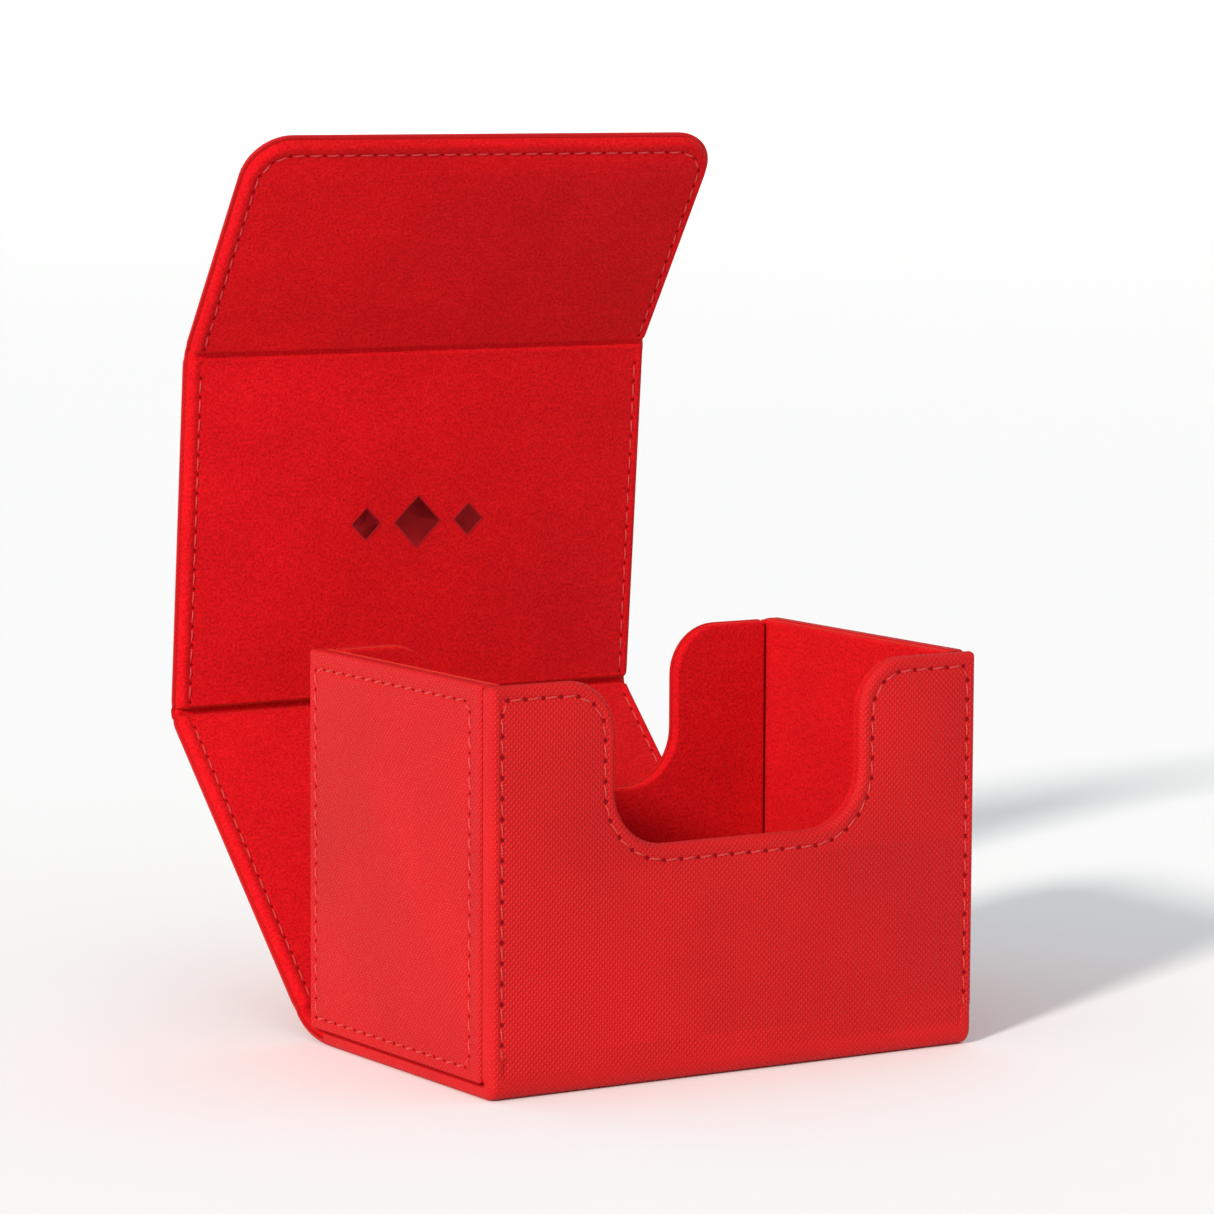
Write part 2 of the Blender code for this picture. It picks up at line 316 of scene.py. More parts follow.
@dataclass(frozen=True)
class HotFoil:
    """Dark red metallic foil, pressed hot into the suede: glossy, with the nap showing through."""

    foil: str = "#A00C16"
    nap: float = 0.6 * MM

    def build(self) -> bpy.types.Material:
        """Builds the material: a metal with fine dents from the fibres below it.

        Returns:
            The material.
        """
        material, tree = new_material("hot_pressed_foil")
        place = add_node(tree, "TexCoord").outputs["Object"]
        noise = add_node(tree, "TexNoise", {
            "Vector": place, "Scale": 1 / self.nap, "Detail": 3.0}).outputs[0]
        bump = add_node(tree, "Bump", {"Height": noise, "Distance": 0.06 * MM, "Strength": 0.6}).outputs[0]
        finish_material(tree, Base_Color=linear(self.foil), Metallic=0.15, Roughness=0.4, Normal=bump,
                        Specular_IOR_Level=0.22)
        return material


@dataclass(frozen=True)
class NeedleHole:
    """The shaded inside of a hole that a needle has punched: fibre ends in almost no light."""

    edge: str = "#980D13"
    deep: str = "#5C070B"
    fibre: float = 0.3 * MM

    def build(self) -> bpy.types.Material:
        """Builds the material: fine noise between two very dark reds.

        Returns:
            The material.
        """
        material, tree = new_material("punched_needle_hole")
        place = add_node(tree, "TexCoord").outputs["Object"]
        noise = add_node(tree, "TexNoise", {
            "Vector": place, "Scale": 1 / self.fibre, "Detail": 2.0}).outputs[0]
        colour = add_node(tree, "Mix", {
            "Factor": noise, "A": linear(self.deep), "B": linear(self.edge)},
            data_type="RGBA").outputs["Result"]
        finish_material(tree, Base_Color=colour, Roughness=1.0, Specular_IOR_Level=0.1)
        return material


@dataclass(frozen=True)
class Greyboard:
    """Rolled greyboard, pressed from waste paper: flat grey with pale and dark fibre flecks."""

    body: str = "#9A948A"
    fleck: str = "#6E675D"
    flecks_per_metre: tuple[float, float, float] = (260.0, 1100.0, 1100.0)

    def build(self) -> bpy.types.Material:
        """Builds the material: noise stretched along the rolling direction.

        Returns:
            The material.
        """
        material, tree = new_material("rolled_greyboard")
        place = add_node(tree, "TexCoord").outputs["Object"]
        rolled = add_node(tree, "Mapping", {"Vector": place, "Scale": self.flecks_per_metre}).outputs[0]
        noise = add_node(tree, "TexNoise", {"Vector": rolled, "Scale": 1.0, "Detail": 5.0}).outputs[0]
        share = add_node(tree, "MapRange", {"Value": noise, "From Min": 0.4, "From Max": 0.7}).outputs[0]
        colour = add_node(tree, "Mix", {
            "Factor": share, "A": linear(self.body), "B": linear(self.fleck)},
            data_type="RGBA").outputs["Result"]
        bump = add_node(tree, "Bump", {"Height": noise, "Distance": 0.03 * MM, "Strength": 0.5}).outputs[0]
        finish_material(tree, Base_Color=colour, Roughness=0.9, Normal=bump)
        return material


@dataclass(frozen=True)
class NickelledSteel:
    """Nickel-plated steel, stamped: a bright disc whose gloss varies in fine patches."""

    plate: str = "#C9C8C4"
    mottle: float = 0.4 * MM

    def build(self) -> bpy.types.Material:
        """Builds the material: metal whose roughness follows fine noise.

        Returns:
            The material.
        """
        material, tree = new_material("nickel_plated_steel")
        place = add_node(tree, "TexCoord").outputs["Object"]
        noise = add_node(tree, "TexNoise", {
            "Vector": place, "Scale": 1 / self.mottle, "Detail": 3.0}).outputs[0]
        rough = add_node(tree, "MapRange", {"Value": noise, "To Min": 0.22, "To Max": 0.42}).outputs[0]
        finish_material(tree, Base_Color=linear(self.plate), Metallic=1.0, Roughness=rough)
        return material


@dataclass
class Finishes:
    """Every material on the box, built once."""

    sheet: bpy.types.Material = field(default_factory=lambda: EmbossedSheet().build())
    suede: bpy.types.Material = field(default_factory=lambda: Suede().build())
    thread: bpy.types.Material = field(default_factory=lambda: Thread().build())
    hole: bpy.types.Material = field(default_factory=lambda: NeedleHole().build())
    foil: bpy.types.Material = field(default_factory=lambda: HotFoil().build())
    board: bpy.types.Material = field(default_factory=lambda: Greyboard().build())
    steel: bpy.types.Material = field(default_factory=lambda: NickelledSteel().build())

    def of_side(self, side: Side) -> bpy.types.Material:
        """The sheet for a cover and the suede for a lining."""
        return self.sheet if side is Side.COVER else self.suede


# ---------------------------------------------------------------- meshes


def new_piece(name: str, points: Array, faces: list, surface: Array, relief: Array) -> bpy.types.Object:
    """Puts points and faces into a mesh object, with its pattern map and its relief.

    Args:
        name: The piece's name.
        points: Points in metres, as count x 3.
        faces: Each face as a list of point numbers.
        surface: The pattern's coordinates at each point in metres, as count x 2.
        relief: How strongly embossing shows at each point, from 0 to 1.

    Returns:
        The object, at the origin.
    """
    mesh = bpy.data.meshes.new(name)
    mesh.from_pydata(points, [], faces)
    corners = np.empty(len(mesh.loops), np.int32)
    mesh.loops.foreach_get("vertex_index", corners)
    layer = mesh.uv_layers.new(name=PATTERN_MAP)
    layer.data.foreach_set("uv", surface[corners].astype(np.float32).ravel())
    stored = mesh.attributes.new(RELIEF, "FLOAT", "POINT")
    stored.data.foreach_set("value", relief.astype(np.float32).ravel())
    piece = bpy.data.objects.new(name, mesh)
    bpy.context.scene.collection.objects.link(piece)
    return piece


def tidy(piece: bpy.types.Object, sharp: float = 50.0) -> bpy.types.Object:
    """Merges points that coincide, turns every face outwards and shades the piece smooth.

    Args:
        piece: A closed mesh.
        sharp: The angle in degrees past which an edge stays sharp.

    Returns:
        The same piece.
    """
    work = bmesh.new()
    work.from_mesh(piece.data)
    bmesh.ops.remove_doubles(work, verts=work.verts, dist=0.002 * MM)
    bmesh.ops.recalc_face_normals(work, faces=work.faces)
    work.to_mesh(piece.data)
    work.free()
    piece.data.shade_smooth()
    piece.data.set_sharp_from_angle(angle=math.radians(sharp))
    return piece


def ring_faces(rings: int, around: int, last: bool = True) -> list:
    """The faces between rings of points: point j of ring i meets points i + 1 and j + 1.

    Args:
        rings: How many rings there are.
        around: How many points each has.
        last: True if the last ring is filled, as the first always is.

    Returns:
        Each face as a list of point numbers.
    """
    index = np.arange(rings * around).reshape(rings, around)
    ahead = np.roll(index, -1, axis=1)
    quads = np.stack([index[:-1], ahead[:-1], ahead[1:], index[1:]], axis=-1).reshape(-1, 4)
    caps = [index[0][::-1].tolist(), index[-1].tolist()]
    return [*quads.tolist(), *caps[:1 + last]]


def loft(name: str, rings: Array, surface: Array, relief: Array) -> bpy.types.Object:
    """Skins rings of points into one closed body.

    The last point of a ring meets its first, and the first and last rings are filled.

    Args:
        name: The piece's name.
        rings: Points in metres, as rings x points x 3.
        surface: Pattern coordinates in metres, as rings x points x 2.
        relief: How strongly embossing shows, as rings x points.

    Returns:
        The closed piece.
    """
    faces = ring_faces(*rings.shape[:2])
    piece = new_piece(name, rings.reshape(-1, 3), faces, surface.reshape(-1, 2), relief.ravel())
    return tidy(piece)


@dataclass(frozen=True)
class EdgeProfile:
    """How a wrapped board turns from the seam in its side edge to its face, and dips at its stitches."""

    run: float = 1.5 * MM
    drop: float = 1.8 * MM
    tuck: float = 0.28 * MM
    back: float = 0.0
    dip: float = 0.24 * MM
    dip_reach: float = 0.75 * MM
    steps: int = 8
    dip_steps: int = 5
    first_angle: float = math.radians(9)
    lip: float = 0.12 * MM
    seam_lip: float = 0.03 * MM
    seam_relief: tuple[float, float] = (0.3, 0.4)
    edge_relief: float = 0.55

    def rings(self, rise: float) -> dict[str, Array]:
        """The profile as rings, from the seam inwards.

        The edge is a straight side and then a quarter of an ellipse: inset = run x (1 - cos a), fall
        below the face = drop x (1 - sin a). The dip is a squared cosine about the sewn row. The
        unrolled inset replaces the inset on the curve by the length of sheet that lies there, so that
        the pattern keeps its size over the edge.

        Args:
            rise: The height from the seam to the face, in metres.

        Returns:
            Arrays of one value for each ring: the inset, its share of the row's inset, the unrolled
            inset, the fall, the least height above the seam, the dip as a share of its depth, and
            the relief.
        """
        angle = np.linspace(self.first_angle, math.pi / 2, self.steps)
        inset = np.concatenate([[self.tuck, 0.0], self.run * (1 - np.cos(angle))])
        side = [rise, max(rise - self.lip, self.drop)]
        fall = np.concatenate([side, self.drop * (1 - np.sin(angle))])
        lengths = np.hypot(np.diff(inset), np.diff(fall))
        unrolled = inset[-1] - np.append(np.cumsum(lengths[::-1])[::-1], 0.0)
        about = np.linspace(-1, 1, self.dip_steps)
        flat = np.zeros(self.dip_steps)
        edge = np.zeros(self.steps + 2)
        least = edge + self.lip
        least[0] = self.seam_lip
        shown = np.linspace(self.edge_relief, 1, self.steps)
        fall[:2] = math.inf
        return {
            "inset": np.append(inset + self.back, about * self.dip_reach),
            "share": np.append(edge, flat + 1),
            "unrolled": np.append(unrolled + self.back, about * self.dip_reach),
            "fall": np.append(fall, flat),
            "least": np.append(least, flat),
            "dip": np.append(edge, np.cos(about * math.pi / 2) ** 2),
            "relief": np.concatenate([self.seam_relief, shown, flat + 1]),
        }

    def height(self, ring: dict[str, Array], rise: Array) -> Array:
        """How high each ring lies above the seam.

        Args:
            ring: The rings.
            rise: The height from the seam to the face at each point.

        Returns:
            The heights, as rings x points.
        """
        squeezed = np.minimum(1.0, rise / self.drop)
        return np.maximum(rise - ring["fall"][:, None] * squeezed, ring["least"][:, None])


@dataclass(frozen=True)
class Corner:
    """One corner of an outline, and the edge that leaves it, in the board's own plane."""

    x: float
    y: float
    radius: float = 0.0
    row: float = 2.4 * MM
    sewn: bool = True
    wrapped: bool = True
    seam: float = 0.0


class Outline:
    """A closed outline, walked anticlockwise, that can be moved inwards by a distance.

    Each point keeps the inward directions of the edge before and after it. On a tight corner the
    first part of a move runs along the corner's radius and the rest along the mitre.
    """

    TIGHT = 4.0 * MM
    STEP = 2.0 * MM
    ARC_STEP = math.radians(7)

    def __init__(self, corners: list[Corner]) -> None:
        """Works the points out.

        Args:
            corners: The corners, anticlockwise.
        """
        spots = np.array([(c.x, c.y) for c in corners])
        edges = np.roll(spots, -1, axis=0) - spots
        along = edges / np.linalg.norm(edges, axis=1)[:, None]
        inward = np.stack([-along[:, 1], along[:, 0]], axis=1)
        rows = []
        for i, corner in enumerate(corners):
            before = corners[i - 1]
            following = corners[(i + 1) % len(corners)]
            rows.append(self._corner(spots[i], corner, before, along, inward, i))
            turn = self._turn(along, (i + 1) % len(corners))
            start = rows[-1]["point"][-1]
            end = spots[(i + 1) % len(corners)] - along[i] * self._reach(following.radius, turn)
            rows.append(self._edge(start, end, corner, inward[i]))
        starts = np.append(0, np.cumsum([len(r["point"]) for r in rows]))
        for k in range(0, len(rows), 2):
            rows[k]["from"] = rows[k]["to"] = np.arange(starts[k], starts[k + 1])
            edge = rows[k + 1]
            edge["from"] = np.full(len(edge["point"]), starts[k + 1] - 1)
            edge["to"] = np.full(len(edge["point"]), starts[k + 2] % starts[-1])
        self.anchor_a, self.anchor_b = (np.concatenate([r[k] for r in rows]) for k in ("from", "to"))
        self.between = np.concatenate([r["share"] for r in rows])[:, None]
        self.point, self.before, self.after, self.radial = (
            np.concatenate([r[k] for r in rows]) for k in ("point", "before", "after", "radial"))
        self.limit, self.row_a, self.row_b, self.wrap_a, self.wrap_b, self.sewn, self.seam = (
            np.concatenate([r[k] for r in rows])
            for k in ("limit", "row_a", "row_b", "wrap_a", "wrap_b", "sewn", "seam"))

    @staticmethod
    def _turn(along: Array, i: int) -> float:
        """The signed angle that the outline turns by at corner i, positive to the left."""
        a, b = along[i - 1], along[i]
        return math.atan2(a[0] * b[1] - a[1] * b[0], float(a @ b))

    @staticmethod
    def _reach(radius: float, turn: float) -> float:
        """How far from the corner its arc begins."""
        return radius * math.tan(abs(turn) / 2)

    def _corner(self, spot: Array, corner: Corner, before: Corner, along: Array, inward: Array,
                i: int) -> dict[str, Array]:
        """The points of one corner: a single point, or an arc.

        Args:
            spot: The corner's own place.
            corner: The corner, whose edge is the one that leaves.
            before: The corner whose edge arrives.
            along: The unit direction of each edge.
            inward: The inward direction of each edge.
            i: The corner's number.

        Returns:
            The values at each of its points.
        """
        turn = self._turn(along, i)
        count = 1 if corner.radius == 0 else max(4, math.ceil(abs(turn) / self.ARC_STEP)) + 1
        share = np.linspace(0, 1, count)
        sign = math.copysign(1, turn)
        first = math.atan2(inward[i - 1][1], inward[i - 1][0])
        angle = first + turn * share
        radial = np.stack([np.cos(angle), np.sin(angle)], axis=1)
        centre = spot - along[i - 1] * self._reach(corner.radius, turn) + sign * inward[i - 1] * corner.radius
        tight = sign > 0 and corner.radius < self.TIGHT
        same = np.ones((count, 1))
        mixed = (1 - share) * before.row + share * corner.row
        return {
            "point": centre - sign * radial * corner.radius,
            "radial": radial,
            "before": same * inward[i - 1] if tight or count == 1 else radial,
            "after": same * inward[i] if tight or count == 1 else radial,
            "limit": np.full(count, corner.radius if tight else 0.0),
            "row_a": np.full(count, before.row) if tight or count == 1 else mixed,
            "row_b": np.full(count, corner.row) if tight or count == 1 else mixed,
            "wrap_a": np.full(count, float(before.wrapped)),
            "wrap_b": np.full(count, float(corner.wrapped)),
            "sewn": np.full(count, float(corner.sewn and before.sewn)),
            "seam": (1 - share) * before.seam + share * corner.seam,
            "share": np.zeros(count),
        }

    def _edge(self, start: Array, end: Array, corner: Corner, inward: Array) -> dict[str, Array]:
        """The points strictly between the ends of one straight edge.

        Args:
            start: Where the edge starts.
            end: Where it ends.
            corner: The corner that it leaves.
            inward: Its inward direction.

        Returns:
            The values at each of its points.
        """
        pieces = max(1, math.ceil(np.linalg.norm(end - start) / self.STEP))
        if not corner.wrapped:
            pieces = 1
        share = np.linspace(0, 1, pieces + 1)[1:-1]
        same = np.ones((len(share), 1))
        ones = np.ones(len(share))
        return {
            "point": start + share[:, None] * (end - start),
            "radial": same * inward, "before": same * inward, "after": same * inward,
            "limit": 0 * ones, "row_a": ones * corner.row, "row_b": ones * corner.row,
            "wrap_a": ones * corner.wrapped, "wrap_b": ones * corner.wrapped,
            "sewn": ones * corner.sewn, "seam": ones * corner.seam, "share": share,
        }

    def moved(self, inset: float, share: float) -> Array:
        """The outline moved inwards.

        Where two edges meet, the move v satisfies v . n1 = d1 and v . n2 = d2 for the two inward
        directions n and their distances d; on an arc it is d times the inward direction. The points
        of a straight edge keep their shares of the way between the moved corners.

        Args:
            inset: A distance in metres.
            share: The share of the sewn row's inset that is added to it.

        Returns:
            The moved points, as count x 2.
        """
        first = self.wrap_a * (inset + share * self.row_a)
        second = self.wrap_b * (inset + share * self.row_b)
        near = np.minimum(np.minimum(first, second), self.limit)
        first, second = first - near, second - near
        cosine = np.sum(self.before * self.after, axis=1)
        square = 1 - cosine ** 2
        bent = square > 1e-6
        safe = np.where(bent, square, 1.0)[:, None]
        mitre = (first[:, None] * (self.before - cosine[:, None] * self.after)
                 + second[:, None] * (self.after - cosine[:, None] * self.before)) / safe
        plain = first[:, None] * self.before
        free = self.point + near[:, None] * self.radial + np.where(bent[:, None], mitre, plain)
        return (1 - self.between) * free[self.anchor_a] + self.between * free[self.anchor_b]

    def row(self) -> Array:
        """The line of the stitches, as count x 2."""
        return self.moved(0.0, 1.0)


@dataclass(frozen=True)
class Plane:
    """A board's own plane: where its middle layer's origin is, and its three directions."""

    origin: tuple[float, float, float]
    across: tuple[float, float, float]
    up: tuple[float, float, float]
    outward: tuple[float, float, float]

    def place(self, flat: Array, height: Array) -> Array:
        """Takes points of the plane to the box.

        Args:
            flat: Across and up, as ... x 2.
            height: The height towards the outside, as ....

        Returns:
            Points in metres, as ... x 3.
        """
        return (np.array(self.origin) + flat[..., :1] * np.array(self.across)
                + flat[..., 1:] * np.array(self.up) + height[..., None] * np.array(self.outward))


def wrapped_half(name: str, outline: Outline, plane: Plane, thickness: float, side: Side,
                 profile: EdgeProfile, shift: float = 0.0) -> bpy.types.Object:
    """One half of a wrapped board, from the seam in its edge to its face.

    The edge profile is carried along the outline: ring k is the outline moved in by the profile's
    inset k, at the profile's height k above the seam.

    Args:
        name: The piece's name.
        outline: The board's outline.
        plane: Its plane, through the middle of its thickness.
        thickness: Its thickness.
        side: Which half it is.
        profile: The shape of its edge.
        shift: How far the pattern is moved up, to meet the one on the piece below.

    Returns:
        The closed piece.
    """
    ring = profile.rings(float(np.max(np.abs(side.value * thickness / 2 - outline.seam))))
    flat = np.stack([outline.moved(i, s) for i, s in zip(ring["inset"], ring["share"])])
    surface = np.stack([outline.moved(i, s) for i, s in zip(ring["unrolled"], ring["share"])]) + (0, shift)
    rise = np.abs(side.value * thickness / 2 - outline.seam)
    height = outline.seam + side.value * profile.height(ring, rise)
    height -= side.value * profile.dip * ring["dip"][:, None] * outline.sewn
    relief = np.repeat(ring["relief"][:, None], len(outline.point), axis=1)
    return loft(name, plane.place(flat, height), surface, relief)


@dataclass(frozen=True)
class Run:
    """One straight stretch of the ribbon, seen from its side in the plane of depth and height."""

    corner: Array
    angle: float
    start: float
    end: float
    cover: float
    lining: float
    sewn: float = 1.0

    @property
    def along(self) -> Array:
        """The unit direction in which the ribbon runs."""
        return np.array([math.cos(self.angle), math.sin(self.angle)])

    @property
    def outward(self) -> Array:
        """The unit direction out of the box, to the right of the run."""
        return np.array([math.sin(self.angle), -math.cos(self.angle)])


@dataclass(frozen=True)
class Gutter:
    """The flexible stretch between two boards: how thin the ribbon gets there, and where.

    The padding of each board creeps some way into the stretch, which leaves a narrow groove.
    """

    cover: float = 0.95 * MM
    lining: float = 0.75 * MM
    sink: float = 0.2 * MM
    pinch: float = 0.15 * MM
    shoulder: float = 1.0 * MM
    creep_before: float = 3.4 * MM
    creep_after: float = 1.2 * MM


class Ribbon:
    """A stretch of the ribbon from one run to the next, across the gutter between them.

    In the gutter, a point at depth d below the outer face lies on a quadratic Bezier curve whose ends
    are the ends of the two runs' faces at that depth, and whose control point is where those faces
    would meet.
    """

    FOLD_STEPS = 30
    DENSE = 3.0 * MM
    DENSE_STEP = 0.3 * MM
    LONG_STEP = 6.0 * MM

    def __init__(self, before: Run, after: Run, gutter: Gutter, reach: tuple[float, float]) -> None:
        """Works the stations out.

        Args:
            before: The run that arrives.
            after: The run that leaves.
            gutter: What the ribbon does between them.
            reach: How far the stretch goes along each run, from the gutter's edge.
        """
        self.before, self.after, self.gutter = before, after, gutter
        matrix = np.stack([before.along, -after.along], axis=1)
        steps = np.linalg.solve(matrix, after.corner - before.corner)
        self.meeting = before.corner + steps[0] * before.along
        self.margin_a = steps[0] - before.end
        self.margin_b = -steps[1] + after.start if steps[1] < 0 else after.start - steps[1]
        arriving = -self._spread(reach[0])[::-1]
        leaving = self._spread(reach[1])
        inside = np.linspace(0, 1, self.FOLD_STEPS + 1)[1:-1]
        width = self.margin_a + self.margin_b
        before_side = gutter.creep_before - np.concatenate([arriving, inside * width, leaving + width])
        after_side = gutter.creep_after + np.concatenate([arriving - width, inside * width - width, leaving])
        self.padded = np.maximum(before_side, after_side)
        self.fold = np.concatenate([0 * arriving, inside, 0 * leaving + 1])
        self.run_a = np.concatenate([-arriving, 0 * inside, 0 * leaving])
        self.run_b = np.concatenate([0 * arriving, 0 * inside, leaving])
        self.share = np.concatenate([0 * arriving, inside ** 2 * (3 - 2 * inside), 0 * leaving + 1])

    def _spread(self, reach: float) -> Array:
        """Spaces stations along a run, close together by the gutter and far apart beyond it.

        Args:
            reach: How far along the run they go.

        Returns:
            Their distances from the gutter's edge.
        """
        near = np.arange(0.0, min(self.DENSE, reach), self.DENSE_STEP)
        count = max(1, math.ceil((reach - self.DENSE) / self.LONG_STEP))
        far = np.linspace(self.DENSE, reach, count + 1) if reach > self.DENSE else np.array([reach])
        return np.concatenate([near, far])

    def at_depth(self, depth: Array) -> Array:
        """Points of the ribbon's section at a depth below its outer face.

        Args:
            depth: The depth at each station, in metres.

        Returns:
            Depth and height coordinates of the box at each station, as count x 2.
        """
        a, b = self.before, self.after
        down = depth[:, None]
        first = self.meeting - self.margin_a * a.along - down * a.outward
        last = self.meeting + self.margin_b * b.along - down * b.outward
        middle = self.meeting - down * (a.outward + b.outward) / (1 + a.outward @ b.outward)
        t = self.fold[:, None]
        curve = (1 - t) ** 2 * first + 2 * t * (1 - t) * middle + t ** 2 * last
        return curve - self.run_a[:, None] * a.along + self.run_b[:, None] * b.along

    def layers(self) -> tuple[Array, Array, Array, Array]:
        """The depths of the outer face, the seam and the inner face, and the amount of gutter.

        The shoulder of each board is a quarter circle: share = sqrt(1 - (1 - x)^2), with x the
        distance from the groove over the shoulder's radius.

        Returns:
            Four arrays of one value for each station.
        """
        g = self.gutter
        x = np.clip(self.padded / g.shoulder, 0, 1)
        board = np.sqrt(1 - (1 - x) ** 2)
        ease = np.clip(self.padded / (2 * g.shoulder), 0, 1)
        ease = ease ** 2 * (3 - 2 * ease)
        cover = (1 - self.share) * self.before.cover + self.share * self.after.cover
        lining = (1 - self.share) * self.before.lining + self.share * self.after.lining
        face = g.sink * (1 - ease)
        seam = g.cover + (cover - g.cover) * board
        return face, seam, seam + g.lining + (lining - g.lining) * board, 1 - ease

    def piece(self, name: str, half_width: float, row: float, side: Side, profile: EdgeProfile,
              offset: float) -> bpy.types.Object:
        """One half of the ribbon's thickness as a closed body.

        Ring i is the section at station i: from the seam at the left edge, over the face, to the
        seam at the right edge, by the same edge profile as on the other boards.

        Args:
            name: The piece's name.
            half_width: Half the ribbon's width.
            row: The inset of the stitches from its edges.
            side: Which half it is.
            profile: The shape of its edges.
            offset: The length of ribbon before this stretch, which places the pattern.

        Returns:
            The closed piece.
        """
        face, seam, inner, gutter = self.layers()
        goal = face if side is Side.COVER else inner
        ring = profile.rings(self.before.cover)
        inset = ring["inset"] + ring["share"] * row
        unrolled = ring["unrolled"] + ring["share"] * row
        width = half_width - self.gutter.pinch * gutter
        left = -width[:, None] + inset
        across = np.concatenate([left, -left[:, ::-1]], axis=1)
        dip = np.append(ring["dip"], ring["dip"][::-1])
        sewn = (1 - self.share) * self.before.sewn + self.share * self.after.sewn
        high = profile.height(ring, np.abs(goal - seam)).T
        depth = seam[:, None] - side.value * np.concatenate([high, high[:, ::-1]], axis=1)
        depth += side.value * profile.dip * dip * (sewn * (1 - gutter))[:, None]
        section = np.stack([self.at_depth(column) for column in depth.T], axis=1)
        rings = np.concatenate([across[..., None], section], axis=2)
        middle = self.at_depth(goal)
        length = offset + np.append(0.0, np.cumsum(np.linalg.norm(np.diff(middle, axis=0), axis=1)))
        pattern = np.append(-half_width + unrolled, (half_width - unrolled)[::-1])
        surface = np.stack(np.broadcast_arrays(pattern[None, :], length[:, None]), axis=2)
        relief = np.broadcast_to(np.append(ring["relief"], ring["relief"][::-1]), depth.shape)
        return loft(name, rings, surface, relief * (1 - 0.35 * gutter)[:, None])

    def length(self) -> float:
        """The length of the outer face from end to end."""
        line = self.at_depth(self.layers()[0])
        return float(np.sum(np.linalg.norm(np.diff(line, axis=0), axis=1)))


# ---------------------------------------------------------------- sewing


@dataclass(frozen=True)
class Sewing:
    """A lock-stitched row: the length of a stitch, and the size of its thread and needle holes."""

    pitch: float = 3.75 * MM
    thread: float = 0.18 * MM
    lift: float = 0.17 * MM
    hole: float = 0.42 * MM
    hole_height: float = 0.18 * MM
    slant: float = 0.09
    reach: float = 0.78
    rings: int = 6
    sides: int = 6
    hole_sides: int = 8

    def holes_along(self, line: Array) -> Array:
        """Evenly spaced points along a line.

        Args:
            line: The line's points, as count x 3.

        Returns:
            The holes' places, as count x 3.
        """
        travelled = np.append(0.0, np.cumsum(np.linalg.norm(np.diff(line, axis=0), axis=1)))
        count = max(1, round(travelled[-1] / self.pitch))
        at = np.linspace(0, travelled[-1], count + 1)
        return np.stack([np.interp(at, travelled, line[:, i]) for i in range(3)], axis=1)

    def stitch_shape(self) -> tuple[Array, list, Array]:
        """One stitch, from hole to hole along X, with its length as one unit.

        Its centre line is half a sine wave, and its section is a circle that narrows to the holes.

        Returns:
            Its points, its faces and its pattern map.
        """
        t = np.linspace(0, 1, self.rings)
        turn = np.linspace(0, 2 * math.pi, self.sides, endpoint=False)
        radius = self.thread * (0.55 + 0.45 * np.sin(math.pi * t) ** 0.5)
        x = np.repeat((t - 0.5)[:, None], self.sides, axis=1)
        y = radius[:, None] * np.cos(turn)
        z = (self.lift * 2 * np.sin(math.pi * t) - self.lift)[:, None] + radius[:, None] * np.sin(turn)
        faces = ring_faces(self.rings, self.sides)
        pattern = np.stack(np.broadcast_arrays((t * self.pitch)[:, None], turn * self.thread), axis=2)
        return np.stack([x, y, z], axis=2).reshape(-1, 3), faces, pattern.reshape(-1, 2)

    def hole_shape(self) -> tuple[Array, list, Array]:
        """One needle hole: a low rim pushed up round a dark dish, whose colour is painted shade for the
        inside of the hole.

        Returns:
            Its points, its faces and its pattern map.
        """
        radius = self.hole * np.array([1.15, 0.95, 0.62, 0.25])
        height = self.hole_height * np.array([-1.0, 1.0, 0.85, 0.6])
        turn = np.linspace(0, 2 * math.pi, self.hole_sides, endpoint=False)
        x = radius[:, None] * np.cos(turn)
        y = radius[:, None] * np.sin(turn)
        z = np.repeat(height[:, None], self.hole_sides, axis=1)
        faces = ring_faces(len(radius), self.hole_sides)
        points = np.stack([x, y, z], axis=2).reshape(-1, 3)
        return points, faces, points[:, :2]


